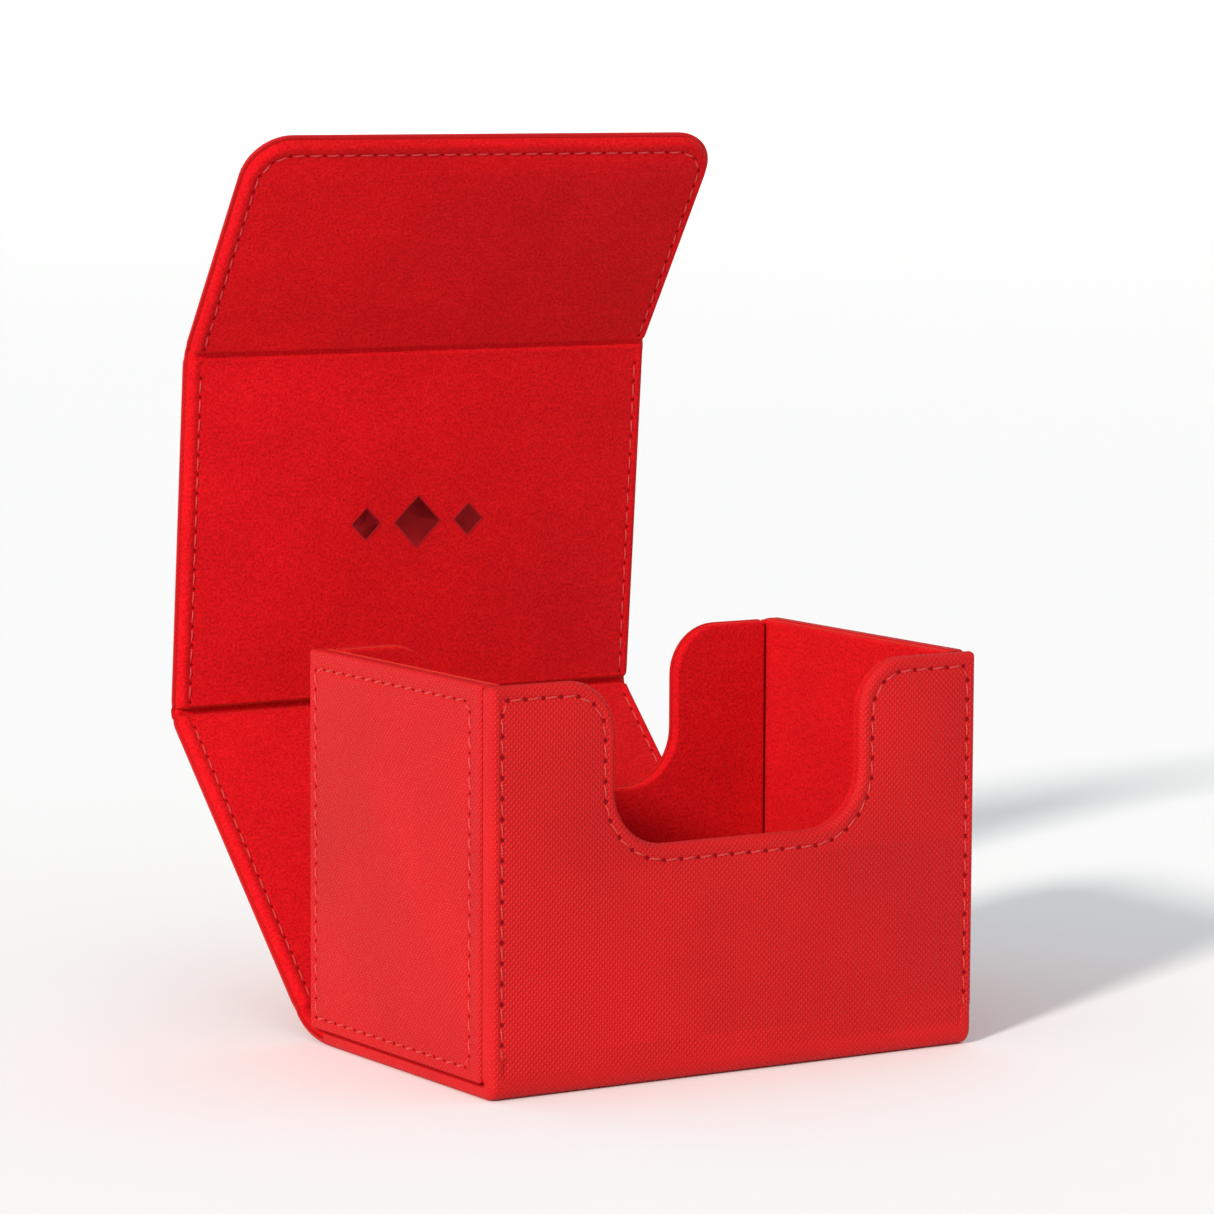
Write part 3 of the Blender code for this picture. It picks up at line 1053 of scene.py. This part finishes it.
class SewnRows:
    """The stitches and needle holes of every row that rides on one body."""

    def __init__(self, body: str, sewing: Sewing) -> None:
        """Starts with no rows.

        Args:
            body: The CAD body that the rows ride on.
            sewing: The sizes of the stitches.
        """
        self.body = body
        self.sewing = sewing
        self.rows: list[tuple[Array, Array, float, float]] = []

    def add(self, line: Array, outward: Array, slant: float | None = None, open_share: float = 1.0) -> None:
        """Adds one row.

        Args:
            line: The row's line on the surface, as count x 3.
            outward: The direction out of that surface.
            slant: How far each stitch leans sideways, as a share of its length.
            open_share: The size of its needle holes, as a share of the full size.
        """
        chosen = self.sewing.slant if slant is None else slant
        self.rows.append((self.sewing.holes_along(line), np.asarray(outward, float), chosen, open_share))

    @staticmethod
    def _scatter(name: str, shape: tuple[Array, list, Array], origins: Array,
                 axes: Array) -> bpy.types.Object:
        """Repeats a small shape in one mesh.

        Args:
            name: The piece's name.
            shape: Its points, faces and pattern map.
            origins: Where each copy goes, as count x 3.
            axes: The three directions of each copy, as count x 3 x 3, one in each row.

        Returns:
            The piece.
        """
        points, faces, pattern = shape
        placed = origins[:, None, :] + np.einsum("vi,nij->nvj", points, axes)
        count, size = placed.shape[:2]
        every = [[corner + copy * size for corner in face] for copy in range(count) for face in faces]
        piece = new_piece(name, placed.reshape(-1, 3), every, np.tile(pattern, (count, 1)),
                          np.ones(count * size))
        piece.data.shade_smooth()
        return piece

    def build(self, finishes: Finishes) -> list[bpy.types.Object]:
        """Builds the thread and the holes.

        Args:
            finishes: The box's materials.

        Returns:
            The two pieces.
        """
        starts, ends, ups, slants = [], [], [], []
        spots, spot_along, spot_up = [], [], []
        for holes, outward, slant, open_share in self.rows:
            starts.append(holes[:-1])
            ends.append(holes[1:])
            ups.append(np.tile(outward, (len(holes) - 1, 1)))
            slants.append(np.full(len(holes) - 1, slant))
            spots.append(holes)
            way = np.gradient(holes, axis=0)
            spot_along.append(open_share * way / np.linalg.norm(way, axis=1)[:, None])
            spot_up.append(np.tile(outward, (len(holes), 1)))
        start, end, up = (np.concatenate(part) for part in (starts, ends, ups))
        lean = np.concatenate(slants)[:, None]
        span = end - start
        across = np.cross(up, span)
        reach = self.sewing.reach * (span + lean * across)
        unit = across / np.linalg.norm(across, axis=1)[:, None]
        thread = self._scatter(f"{self.body}_thread", self.sewing.stitch_shape(), (start + end) / 2,
                               np.stack([reach, unit, up], axis=1))
        spot, ahead, over = (np.concatenate(part) for part in (spots, spot_along, spot_up))
        beside = np.cross(over, ahead)
        holes = self._scatter(f"{self.body}_needle_holes", self.sewing.hole_shape(), spot,
                              np.stack([ahead, beside, over], axis=1))
        for piece, material in ((thread, finishes.thread), (holes, finishes.hole)):
            piece.data.materials.append(material)
            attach(piece, self.body)
            LOG.info("%s: %d faces", piece.name, len(piece.data.polygons))
        return [thread, holes]


# ---------------------------------------------------------------- the frame's sizes


def node_points(*nodes: str) -> Array:
    """Collects the points of some CAD nodes.

    Args:
        *nodes: The nodes' names.

    Returns:
        The points in metres, as count x 3.
    """
    parts = []
    for node in nodes:
        vertices = frame["nodes"][node].data.vertices
        flat = np.empty(len(vertices) * 3, np.float32)
        vertices.foreach_get("co", flat)
        parts.append(flat.reshape(-1, 3).astype(float))
    return np.concatenate(parts)


def hinge(name: str) -> dict:
    """The record's joint of that name."""
    return next(joint for joint in frame["joints"] if joint["name"] == name)


def finish_piece(piece: bpy.types.Object, material: bpy.types.Material, replaced: tuple[str, ...],
                 body: str) -> bpy.types.Object:
    """Dresses a piece, lets it ride on a body unless it joins two, and takes its CAD nodes' place.

    Args:
        piece: The piece.
        material: Its material.
        replaced: The CAD nodes that it stands for.
        body: The body that it rides on, or two joined by a slash, for a piece that spans both and rides on
            neither.

    Returns:
        The same piece.
    """
    piece.data.materials.append(material)
    if replaced:
        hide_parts(*replaced)
    if "/" not in body:
        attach(piece, body)
    LOG.info("%s: %d faces, on %s", piece.name, len(piece.data.polygons), body)
    return piece


def wrapped_board(name: str, body: str, outlines: dict[Side, Outline], plane: Plane, thickness: float,
                  profiles: dict[Side, EdgeProfile], finishes: Finishes, shift: float = 0.0) -> None:
    """Builds and dresses the cover and the suede of one board.

    Args:
        name: The board's name, which its CAD nodes' names start with.
        body: The body that it rides on.
        outlines: The outline of each half.
        plane: The plane through the middle of its thickness.
        thickness: Its thickness.
        profiles: The edge of each half.
        finishes: The box's materials.
        shift: How far the pattern is moved up.
    """
    for side in Side:
        piece = wrapped_half(f"{name}_{side.word}", outlines[side], plane, thickness, side,
                             profiles[side], shift)
        finish_piece(piece, finishes.of_side(side), (f"{name}_{side.slot}",), body)


# ---------------------------------------------------------------- the tray


@dataclass
class Tray:
    """The open tray: a front and a back wall with finger notches, two end walls and a floor."""

    finishes: Finishes
    profile: EdgeProfile = field(default_factory=lambda: EdgeProfile(run=1.3 * MM, drop=1.6 * MM))
    inner_profile: EdgeProfile = field(
        default_factory=lambda: EdgeProfile(run=0.6 * MM, drop=0.8 * MM, back=0.2 * MM, dip=0.0))
    end_profile: EdgeProfile = field(default_factory=lambda: EdgeProfile(run=0.6 * MM, drop=0.6 * MM))
    lip_radius: float = 10.0 * MM
    floor_radius: float = 11.0 * MM
    side_row: float = 2.2 * MM
    top_row: float = 2.6 * MM
    notch_row: float = 2.5 * MM
    notch_floor_row: float = 3.0 * MM
    end_rows: tuple[float, float, float, float] = (2.3 * MM, 4.0 * MM, 3.5 * MM, 2.3 * MM)
    corner: float = 0.9 * MM
    foot: float = 8.0 * MM
    unsewn_foot: float = 2.5 * MM
    shadow_gap: float = 0.25 * MM
    front_seam: float = 0.25 * MM
    end_seam: float = 0.3 * MM
    floor_seam: float = 0.05 * MM
    floor_edge: float = 0.4 * MM
    end_slant: float = 0.24
    end_open_share: float = 0.6

    def __post_init__(self) -> None:
        """Reads the walls' sizes from the frame and starts the tray's rows of stitches."""
        self.rows = SewnRows("tray", Sewing())
        points = node_points("front_wall_skin")
        high = points[points[:, 2] > points[:, 2].max() / 2]
        self.notch_floor = float(high[:, 2].min())
        upright = high[high[:, 2] > self.notch_floor + self.floor_radius - 0.1 * MM]
        self.notch_half = float(np.abs(upright[:, 0]).min())
        self.front = points.min(axis=0), points.max(axis=0)

    def edges(self, cover: EdgeProfile) -> dict[Side, EdgeProfile]:
        """The edge of a board's cover, and the tighter edge of its lining, which has no stitches."""
        return {Side.COVER: cover, Side.LINING: self.inner_profile}

    def wall_outline(self, half: float, foot: float, top: float, open_foot: bool, seam: float) -> Outline:
        """A wall with a finger notch.

        Args:
            half: Half its width.
            foot: The height of its lower edge.
            top: The height of its upper edge.
            open_foot: True if its lower edge continues in another piece.
            seam: The seam's height on its side edges, from the middle of its thickness.

        Returns:
            Its outline, seen from the side that faces away from the tray.
        """
        base = 0.0 if open_foot else self.corner
        notch, floor = self.notch_half, self.notch_floor
        return Outline([
            Corner(-half, foot, base, self.side_row, False, not open_foot, seam),
            Corner(half, foot, base, self.side_row, True, True, seam),
            Corner(half, top, self.corner, self.top_row),
            Corner(notch, top, self.lip_radius, self.notch_row),
            Corner(notch, floor, self.floor_radius, self.notch_floor_row),
            Corner(-notch, floor, self.floor_radius, self.notch_row),
            Corner(-notch, top, self.lip_radius, self.top_row),
            Corner(-half, top, self.corner, self.side_row, True, True, seam),
        ])

    def sew(self, outline: Outline, plane: Plane, thickness: float, skipped: float) -> None:
        """Runs a row of stitches along a wall's sewn edges, on its outer face.

        Args:
            outline: The wall's outline.
            plane: Its plane.
            thickness: Its thickness.
            skipped: The height below which there are no stitches.
        """
        line = outline.row()
        chosen = (outline.sewn > 0) & (line[:, 1] > skipped)
        order = np.arange(len(line))
        first = int(np.argmax(chosen & ~np.roll(chosen, 1)))
        order = np.roll(order, -first)
        kept = line[order][chosen[order]]
        height = np.full(len(kept), thickness / 2 - self.profile.dip)
        self.rows.add(plane.place(kept, height), np.array(plane.outward))

    def front_wall(self) -> None:
        """Builds the front wall, whose sheet carries on under the base."""
        low, high = self.front
        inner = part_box("front_wall_lining")[1].y
        thickness = inner - low[1]
        plane = Plane((0, low[1] + thickness / 2, 0), (1, 0, 0), (0, 0, 1), (0, -1, 0))
        wrap = -thickness / 2 + self.front_seam
        cover = self.wall_outline(high[0], self.foot, high[2], True, wrap)
        whole = self.wall_outline(high[0], low[2], high[2], False, wrap)
        wrapped_board("front_wall", "tray", {Side.COVER: cover, Side.LINING: whole}, plane, thickness,
                      self.edges(self.profile), self.finishes)
        self.sew(whole, plane, thickness, low[2] + self.unsewn_foot)

    def back_wall(self) -> None:
        """Builds the back wall, which stands between the end walls."""
        low, high = (np.array(corner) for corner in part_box("back_wall_skin"))
        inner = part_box("back_wall_lining")[0].y
        thickness = high[1] - inner
        plane = Plane((0, inner + thickness / 2, 0), (-1, 0, 0), (0, 0, 1), (0, 1, 0))
        outline = self.wall_outline(high[0], low[2], high[2], False, 0.0)
        wrapped_board("back_wall", "tray", dict.fromkeys(Side, outline), plane, thickness,
                      self.edges(self.profile), self.finishes)
        self.sew(outline, plane, thickness, low[2] + self.unsewn_foot)

    def end_walls(self) -> None:
        """Builds the two end walls, sewn all round."""
        for name, sign in (("left_end", -1), ("right_end", 1)):
            low, high = (np.array(corner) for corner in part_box(f"{name}_skin"))
            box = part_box(f"{name}_lining")
            outer = high[0] if sign > 0 else low[0]
            inner = box[0].x if sign > 0 else box[1].x
            thickness = abs(outer - inner)
            low[1] += self.shadow_gap
            low[2] += self.shadow_gap / 2
            plane = Plane(((outer + inner) / 2, 0, 0), (0, sign, 0), (0, 0, 1), (sign, 0, 0))
            bottom, front, top, back = self.end_rows
            near, far = (low[1], high[1]) if sign > 0 else (-high[1], -low[1])
            first, second = (front, back) if sign > 0 else (back, front)
            wrap = -thickness / 2 + self.end_seam
            outline = Outline([
                Corner(near, low[2], self.corner, bottom, True, True, wrap),
                Corner(far, low[2], self.corner, second, True, True, wrap),
                Corner(far, high[2], self.corner, top, True, True, 0.0),
                Corner(near, high[2], self.corner, first, True, True, wrap),
            ])
            wrapped_board(name, "tray", dict.fromkeys(Side, outline), plane, thickness,
                          self.edges(self.end_profile), self.finishes)
            line = outline.row()
            closed = np.append(line, line[:1], axis=0)
            height = np.full(len(closed), thickness / 2 - self.profile.dip)
            self.rows.add(plane.place(closed, height), np.array(plane.outward), self.end_slant,
                          self.end_open_share)

    def floor(self) -> None:
        """Builds the suede floor, a thin pad with a soft edge."""
        low, high = (np.array(corner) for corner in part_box("floor_lining"))
        thickness = high[2] - low[2]
        plane = Plane((0, 0, (low[2] + high[2]) / 2), (1, 0, 0), (0, 1, 0), (0, 0, 1))
        corners = [(low[0], low[1]), (high[0], low[1]), (high[0], high[1]), (low[0], high[1])]
        outline = Outline([
            Corner(x, y, self.corner, self.side_row, False, True, -thickness / 2 + self.floor_seam)
            for x, y in corners])
        piece = wrapped_half("floor_suede", outline, plane, thickness, Side.COVER,
                             replace(self.inner_profile, run=self.floor_edge, drop=self.floor_edge,
                                     tuck=self.floor_seam))
        finish_piece(piece, self.finishes.suede, ("floor_lining",), "tray")

    def build(self) -> None:
        """Builds every wall, the floor and their stitches."""
        self.front_wall()
        self.back_wall()
        self.end_walls()
        self.floor()
        self.rows.build(self.finishes)


# ---------------------------------------------------------------- the ribbon: base and lid


@dataclass
class Lid:
    """The base and the three panels of the lid, one ribbon folded at three gutters."""

    finishes: Finishes
    profile: EdgeProfile = field(default_factory=EdgeProfile)
    inner_profile: EdgeProfile = field(default_factory=lambda: EdgeProfile(run=1.3 * MM, back=0.65 * MM))
    row: float = 3.0 * MM
    flap_row: float = 3.4 * MM
    flap_radius: float = 9.5 * MM
    flap_split: float = 6.0 * MM
    foot: float = 8.0 * MM
    base_lap: float = 0.2 * MM
    over_fold: float = 1.8 * MM
    short_of_fold: float = 1.4 * MM
    wall_seam: float = 0.25 * MM
    slant: float = 0.05
    base_bend: Gutter = Gutter(lining=0.0, sink=0.0, pinch=0.0, creep_before=0.0, creep_after=0.0)
    rear_gutter: Gutter = Gutter(
        cover=1.3 * MM, lining=0.9 * MM, sink=0.0, pinch=0.25 * MM, shoulder=1.8 * MM,
        creep_before=0.9 * MM, creep_after=0.9 * MM)
    top_gutter: Gutter = Gutter()
    flap_gutter: Gutter = Gutter(
        cover=1.5 * MM, lining=1.35 * MM, sink=0.1 * MM, shoulder=0.9 * MM,
        creep_before=3.3 * MM, creep_after=1.6 * MM)

    def __post_init__(self) -> None:
        """Works out the runs from the frame: their directions, ends and thicknesses."""
        closing = [math.radians(hinge(name)["range_deg"][1])
                   for name in ("rear_hinge", "top_hinge", "flap_hinge")]
        quarter = math.pi / 2
        angles = [quarter - closing[0], 2 * quarter - sum(closing[:2]), 3 * quarter - sum(closing)]
        names = [("rear_panel", "rear_hinge"), ("top_panel", "top_hinge"), ("front_flap", "flap_hinge")]
        self.panels = [self._panel(body, joint, angle) for (body, joint), angle in zip(names, angles)]
        low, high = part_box("base_skin")
        self.half = high.x
        thickness = high.z - low.z + self.base_lap
        self.base = Run(np.array([0.0, low.z]), 0.0, low.y, high.y, thickness, 0.0, 0.0)
        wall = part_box("front_wall_skin")
        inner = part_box("front_wall_lining")[1].y
        depth = inner - wall[0].y
        self.wall = Run(np.array([wall[0].y, 0.0]), -quarter, -self.foot, -depth, depth - self.wall_seam, 0.0)
        self.base_front = replace(self.base, start=wall[0].y + depth)

    def _panel(self, body: str, joint: str, angle: float) -> Run:
        """One panel of the lid as a run.

        Args:
            body: The body whose panel it is.
            joint: The hinge at its start.
            angle: Its direction, from the back of the box, in radians.

        Returns:
            The run, measured along its outer face from the hinge's foot on it.
        """
        axis = np.array(hinge(joint)["pos_m"][1:])
        along = np.array([math.cos(angle), math.sin(angle)])
        outward = np.array([math.sin(angle), -math.cos(angle)])
        section = node_points(f"{body}_skin", f"{body}_lining")[:, 1:] - axis
        reach, height = section @ along, section @ outward
        thickness = height.max() - height.min()
        return Run(axis + height.max() * outward, angle, reach.min(), reach.max(),
                   thickness / 2, thickness / 2)

    def fold(self, name: str, ribbon: Ribbon, bodies: tuple[str, str], replaced: dict[Side, tuple[str, ...]],
             offset: float) -> None:
        """Builds both halves of a stretch that bends at a hinge.

        Args:
            name: The start of the pieces' names.
            ribbon: The stretch.
            bodies: The two bodies that it joins.
            replaced: The CAD nodes that each half stands for.
            offset: The length of ribbon before it.
        """
        for side, profile in self.edges().items():
            piece = ribbon.piece(f"{name}_{side.word}", self.half, self.row, side, profile, offset)
            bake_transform(piece)
            finish_piece(piece, self.finishes.of_side(side), replaced[side], "/".join(bodies))

    def edges(self) -> dict[Side, EdgeProfile]:
        """The edges of a panel's cover and of its lining."""
        return {Side.COVER: self.profile, Side.LINING: self.inner_profile}

    def flap_plane(self, run: Run) -> Plane:
        """The plane through the middle of the flap, with its origin below its hinge."""
        middle = run.corner - run.outward * run.cover
        return Plane((0, *middle.tolist()), (-1, 0, 0), (0, *run.along.tolist()), (0, *run.outward.tolist()))

    def flap_outline(self, start: float, end: float) -> Outline:
        """Draws the flap's outline, with round corners at its free end.

        Args:
            start: The distance along the flap at which the outline starts.
            end: The distance of its free end.

        Returns:
            The outline.
        """
        half = self.half
        return Outline([
            Corner(-half, start, 0.0, self.row, False, False),
            Corner(half, start, 0.0, self.row),
            Corner(half, end, self.flap_radius, self.flap_row),
            Corner(-half, end, self.flap_radius, self.row),
        ])

    @staticmethod
    def open_share(side: Side) -> float:
        """How far the needle holes gape: suede closes round the thread, embossed sheet doesn't."""
        return 1.0 if side is Side.COVER else 0.7

    def sew_panel(self, run: Run, body: str) -> None:
        """Sews the two side edges of a straight panel, on both faces.

        Args:
            run: The panel.
            body: The body that it rides on.
        """
        rows = SewnRows(body, Sewing())
        for side in Side:
            height = -self.profile.dip if side is Side.COVER else self.profile.dip - 2 * run.cover
            for edge in (-1, 1):
                spare = self.over_fold if side is Side.COVER else -self.short_of_fold
                reach = np.array([run.start - spare / 2, run.end + spare])
                section = run.corner + reach[:, None] * run.along + height * run.outward
                line = np.column_stack([np.full(2, edge * (self.half - self.row)), section])
                rows.add(line, side.value * np.array([0, *run.outward]), edge * self.slant,
                         self.open_share(side))
        rows.build(self.finishes)

    def sew_flap(self, run: Run) -> None:
        """Sews the flap's three free edges, on both faces.

        Args:
            run: The flap as a run.
        """
        rows = SewnRows("front_flap", Sewing())
        outline = self.flap_outline(run.start, run.end)
        plane = self.flap_plane(run)
        line = np.roll(outline.row(), -1, axis=0)
        for side in Side:
            height = np.full(len(line), side.value * (run.cover - self.profile.dip))
            rows.add(plane.place(line, height), side.value * np.array(plane.outward), self.slant,
                     self.open_share(side))
        rows.build(self.finishes)

    def build(self) -> None:
        """Builds the ribbon from the front wall's foot to the flap's free end."""
        rear, top, flap = self.panels
        bend = replace(self.base_bend, cover=self.base.cover)
        under = Ribbon(self.wall, self.base_front, bend, (
            self.foot + self.wall.end, self.base.end - self.base_front.start))
        base = under.piece("base_cover", self.half, self.row, Side.COVER, self.profile, -self.foot)
        finish_piece(base, self.finishes.sheet, ("base_skin",), "tray")
        offset = under.length() - self.foot
        half_rear = (rear.start + rear.end) / 2
        half_top = (top.start + top.end) / 2
        at_rear = Ribbon(self.base, rear, self.rear_gutter, (0.0, half_rear - rear.start))
        self.fold("rear_fold", at_rear, ("tray", "rear_panel"), {
            Side.COVER: ("rear_crease_skin", "rear_panel_skin"),
            Side.LINING: ("rear_crease_lining", "rear_panel_lining")}, offset)
        offset += at_rear.length()
        at_top = Ribbon(rear, top, self.top_gutter, (rear.end - half_rear, half_top - top.start))
        self.fold("top_fold", at_top, ("rear_panel", "top_panel"), {
            Side.COVER: ("top_crease_skin", "top_panel_skin"),
            Side.LINING: ("top_crease_lining", "top_panel_lining")}, offset)
        offset += at_top.length()
        at_flap = Ribbon(top, flap, self.flap_gutter, (top.end - half_top, self.flap_split))
        self.fold("flap_fold", at_flap, ("top_panel", "front_flap"), {
            Side.COVER: ("flap_crease_skin",), Side.LINING: ("flap_crease_lining",)}, offset)
        offset += at_flap.length()
        self.flap(flap, offset - flap.start - self.flap_split)
        self.sew_panel(rear, "rear_panel")
        self.sew_panel(top, "top_panel")
        self.sew_flap(flap)
        FoilMark().build(top, self.finishes)

    def flap(self, run: Run, shift: float) -> None:
        """Builds the flap beyond its gutter.

        Args:
            run: The flap as a run.
            shift: The length of ribbon before the flap's hinge, which places the pattern.
        """
        outline = self.flap_outline(run.start + self.flap_split, run.end)
        wrapped_board("front_flap", "front_flap", dict.fromkeys(Side, outline), self.flap_plane(run),
                      2 * run.cover, self.edges(), self.finishes, shift)


@dataclass(frozen=True)
class FoilMark:
    """A plain ornament of three lozenges, pressed in foil on the inside of the top panel."""

    height: float = 38.1 * MM
    spacing: float = 12.0 * MM
    half_sizes: tuple[float, ...] = (3.6 * MM, 5.6 * MM, 3.6 * MM)
    thickness: float = 0.06 * MM
    rounding: float = 0.5 * MM
    edge: float = 0.05 * MM
    fine: float = 0.01 * MM
    rim: float = 0.3 * MM

    def build(self, run: Run, finishes: Finishes) -> None:
        """Builds the lozenges on the top panel's lining.

        Args:
            run: The top panel.
            finishes: The box's materials.
        """
        surface = run.corner - 2 * run.cover * run.outward
        plane = Plane((0, *surface.tolist()), (1, 0, 0), (0, *run.along.tolist()),
                      (0, *(-run.outward).tolist()))
        profile = EdgeProfile(run=self.edge, drop=self.thickness / 2, tuck=self.fine, dip=0.0,
                              dip_reach=2 * self.fine)
        first = -self.spacing * (len(self.half_sizes) - 1) / 2
        for number, half in enumerate(self.half_sizes, 1):
            x = first + (number - 1) * self.spacing
            ends = [(x, self.height - half), (x + half, self.height), (x, self.height + half),
                    (x - half, self.height)]
            outline = Outline([Corner(*end, self.rounding, self.rim, False) for end in ends])
            piece = wrapped_half(f"top_panel_foil_lozenge_{number}", outline, plane, self.thickness,
                                 Side.COVER, profile)
            finish_piece(piece, finishes.foil, (), "top_panel")


# ---------------------------------------------------------------- what the covers hide


def dress_hidden_nodes(finishes: Finishes) -> None:
    """Gives the boards, magnets and keepers that stay in the model their materials.

    Args:
        finishes: The box's materials.
    """
    for name, node in frame["nodes"].items():
        if node.hide_render:
            continue
        steel = "magnet" in name or "keeper" in name
        node.data.materials.clear()
        node.data.materials.append(finishes.steel if steel else finishes.board)
        LOG.info("%s keeps its own shape", name)


# ---------------------------------------------------------------- stage


@dataclass(frozen=True)
class Camera:
    """Where the camera stands and how it is turned."""

    place: tuple[float, float, float] = (-0.52590, -0.81916, 0.19360)
    yaw: float = math.radians(32.29)
    pitch: float = math.radians(6.398)
    roll: float = math.radians(0.277)
    lens: float = 152.30
    sensor: float = 36.0

    def build(self) -> None:
        """Adds the camera and makes it the scene's."""
        ahead = Vector((math.sin(self.yaw) * math.cos(self.pitch), math.cos(self.yaw) * math.cos(self.pitch),
                        -math.sin(self.pitch)))
        level = Vector((math.cos(self.yaw), -math.sin(self.yaw), 0))
        upright = level.cross(ahead)
        right = math.cos(self.roll) * level + math.sin(self.roll) * upright
        up = -math.sin(self.roll) * level + math.cos(self.roll) * upright
        data = bpy.data.cameras.new("camera")
        data.lens = self.lens
        data.sensor_width = self.sensor
        data.clip_start, data.clip_end = 0.01, 20
        camera = bpy.data.objects.new("camera", data)
        bpy.context.scene.collection.objects.link(camera)
        turned = Matrix((right, up, -ahead)).transposed().to_4x4()
        camera.matrix_world = Matrix.Translation(self.place) @ turned
        bpy.context.scene.camera = camera


@dataclass(frozen=True)
class KeyLight:
    """A large, far light from the left and the front: soft-edged shadows, even over the whole floor."""

    towards: tuple[float, float, float] = (-0.80, -0.43, 0.42)
    strength: float = 3.1
    spread: float = math.radians(7)
    colour: str = "#FFF6EE"

    def build(self) -> None:
        """Adds the light."""
        data = bpy.data.lights.new("key", "SUN")
        data.energy = self.strength
        data.angle = self.spread
        data.color = linear(self.colour)[:3]
        light = bpy.data.objects.new("key", data)
        bpy.context.scene.collection.objects.link(light)
        light.rotation_mode = "QUATERNION"
        light.rotation_quaternion = Vector(self.towards).to_track_quat("Z", "Y")


@dataclass(frozen=True)
class Stage:
    """A pale floor that curves up into a pale backdrop, and plain soft light."""

    floor: str = "#F6FAFA"
    reach: float = 6.0
    rise: float = 0.7
    bend: float = 0.6
    centre: float = 0.02
    bend_steps: int = 16
    around: int = 64
    key: KeyLight = KeyLight()
    sky: float = 0.68
    sky_colour: str = "#F6F7FA"

    def sweep(self) -> None:
        """Builds the floor: a profile of floor, quarter circle and wall, the same all round."""
        turn = np.linspace(0, math.pi / 2, self.bend_steps)
        corner = self.reach - self.bend + self.bend * np.sin(turn)
        across = np.concatenate([[self.centre], corner, [self.reach]])
        height = np.concatenate([[0.0], self.bend * (1 - np.cos(turn)), [self.rise]])
        around = np.linspace(0, 2 * math.pi, self.around, endpoint=False)
        rings = np.stack([across[:, None] * np.cos(around), across[:, None] * np.sin(around),
                          np.repeat(height[:, None], self.around, axis=1)], axis=2)
        faces = ring_faces(*rings.shape[:2], last=False)
        floor = new_piece("floor", rings.reshape(-1, 3), faces, rings[..., :2].reshape(-1, 2),
                          np.ones(rings[..., 0].size))
        floor.data.shade_smooth()
        material, tree = new_material("matt_white_paint")
        place = add_node(tree, "TexCoord").outputs["Object"]
        noise = add_node(tree, "TexNoise", {"Vector": place, "Scale": 3.0, "Detail": 2.0}).outputs[0]
        rough = add_node(tree, "MapRange", {"Value": noise, "To Min": 0.75, "To Max": 0.9}).outputs[0]
        finish_material(tree, Base_Color=linear(self.floor), Roughness=rough, Specular_IOR_Level=0.2)
        floor.data.materials.append(material)

    def build(self) -> None:
        """Adds the floor, the lights and the pale surroundings."""
        self.sweep()
        self.key.build()
        world = bpy.data.worlds.new("studio")
        world.use_nodes = True
        background = world.node_tree.nodes["Background"]
        background.inputs[0].default_value = linear(self.sky_colour)
        background.inputs[1].default_value = self.sky
        bpy.context.scene.world = world
        bpy.context.scene.view_settings.view_transform = "Standard"


def main() -> None:
    """Builds the box and its stage."""
    logging.basicConfig(level=logging.INFO, format="%(name)s: %(message)s")
    Camera().build()
    Stage().build()
    finishes = Finishes()
    Tray(finishes).build()
    Lid(finishes).build()
    dress_hidden_nodes(finishes)


if __name__ == "__main__":
    main()
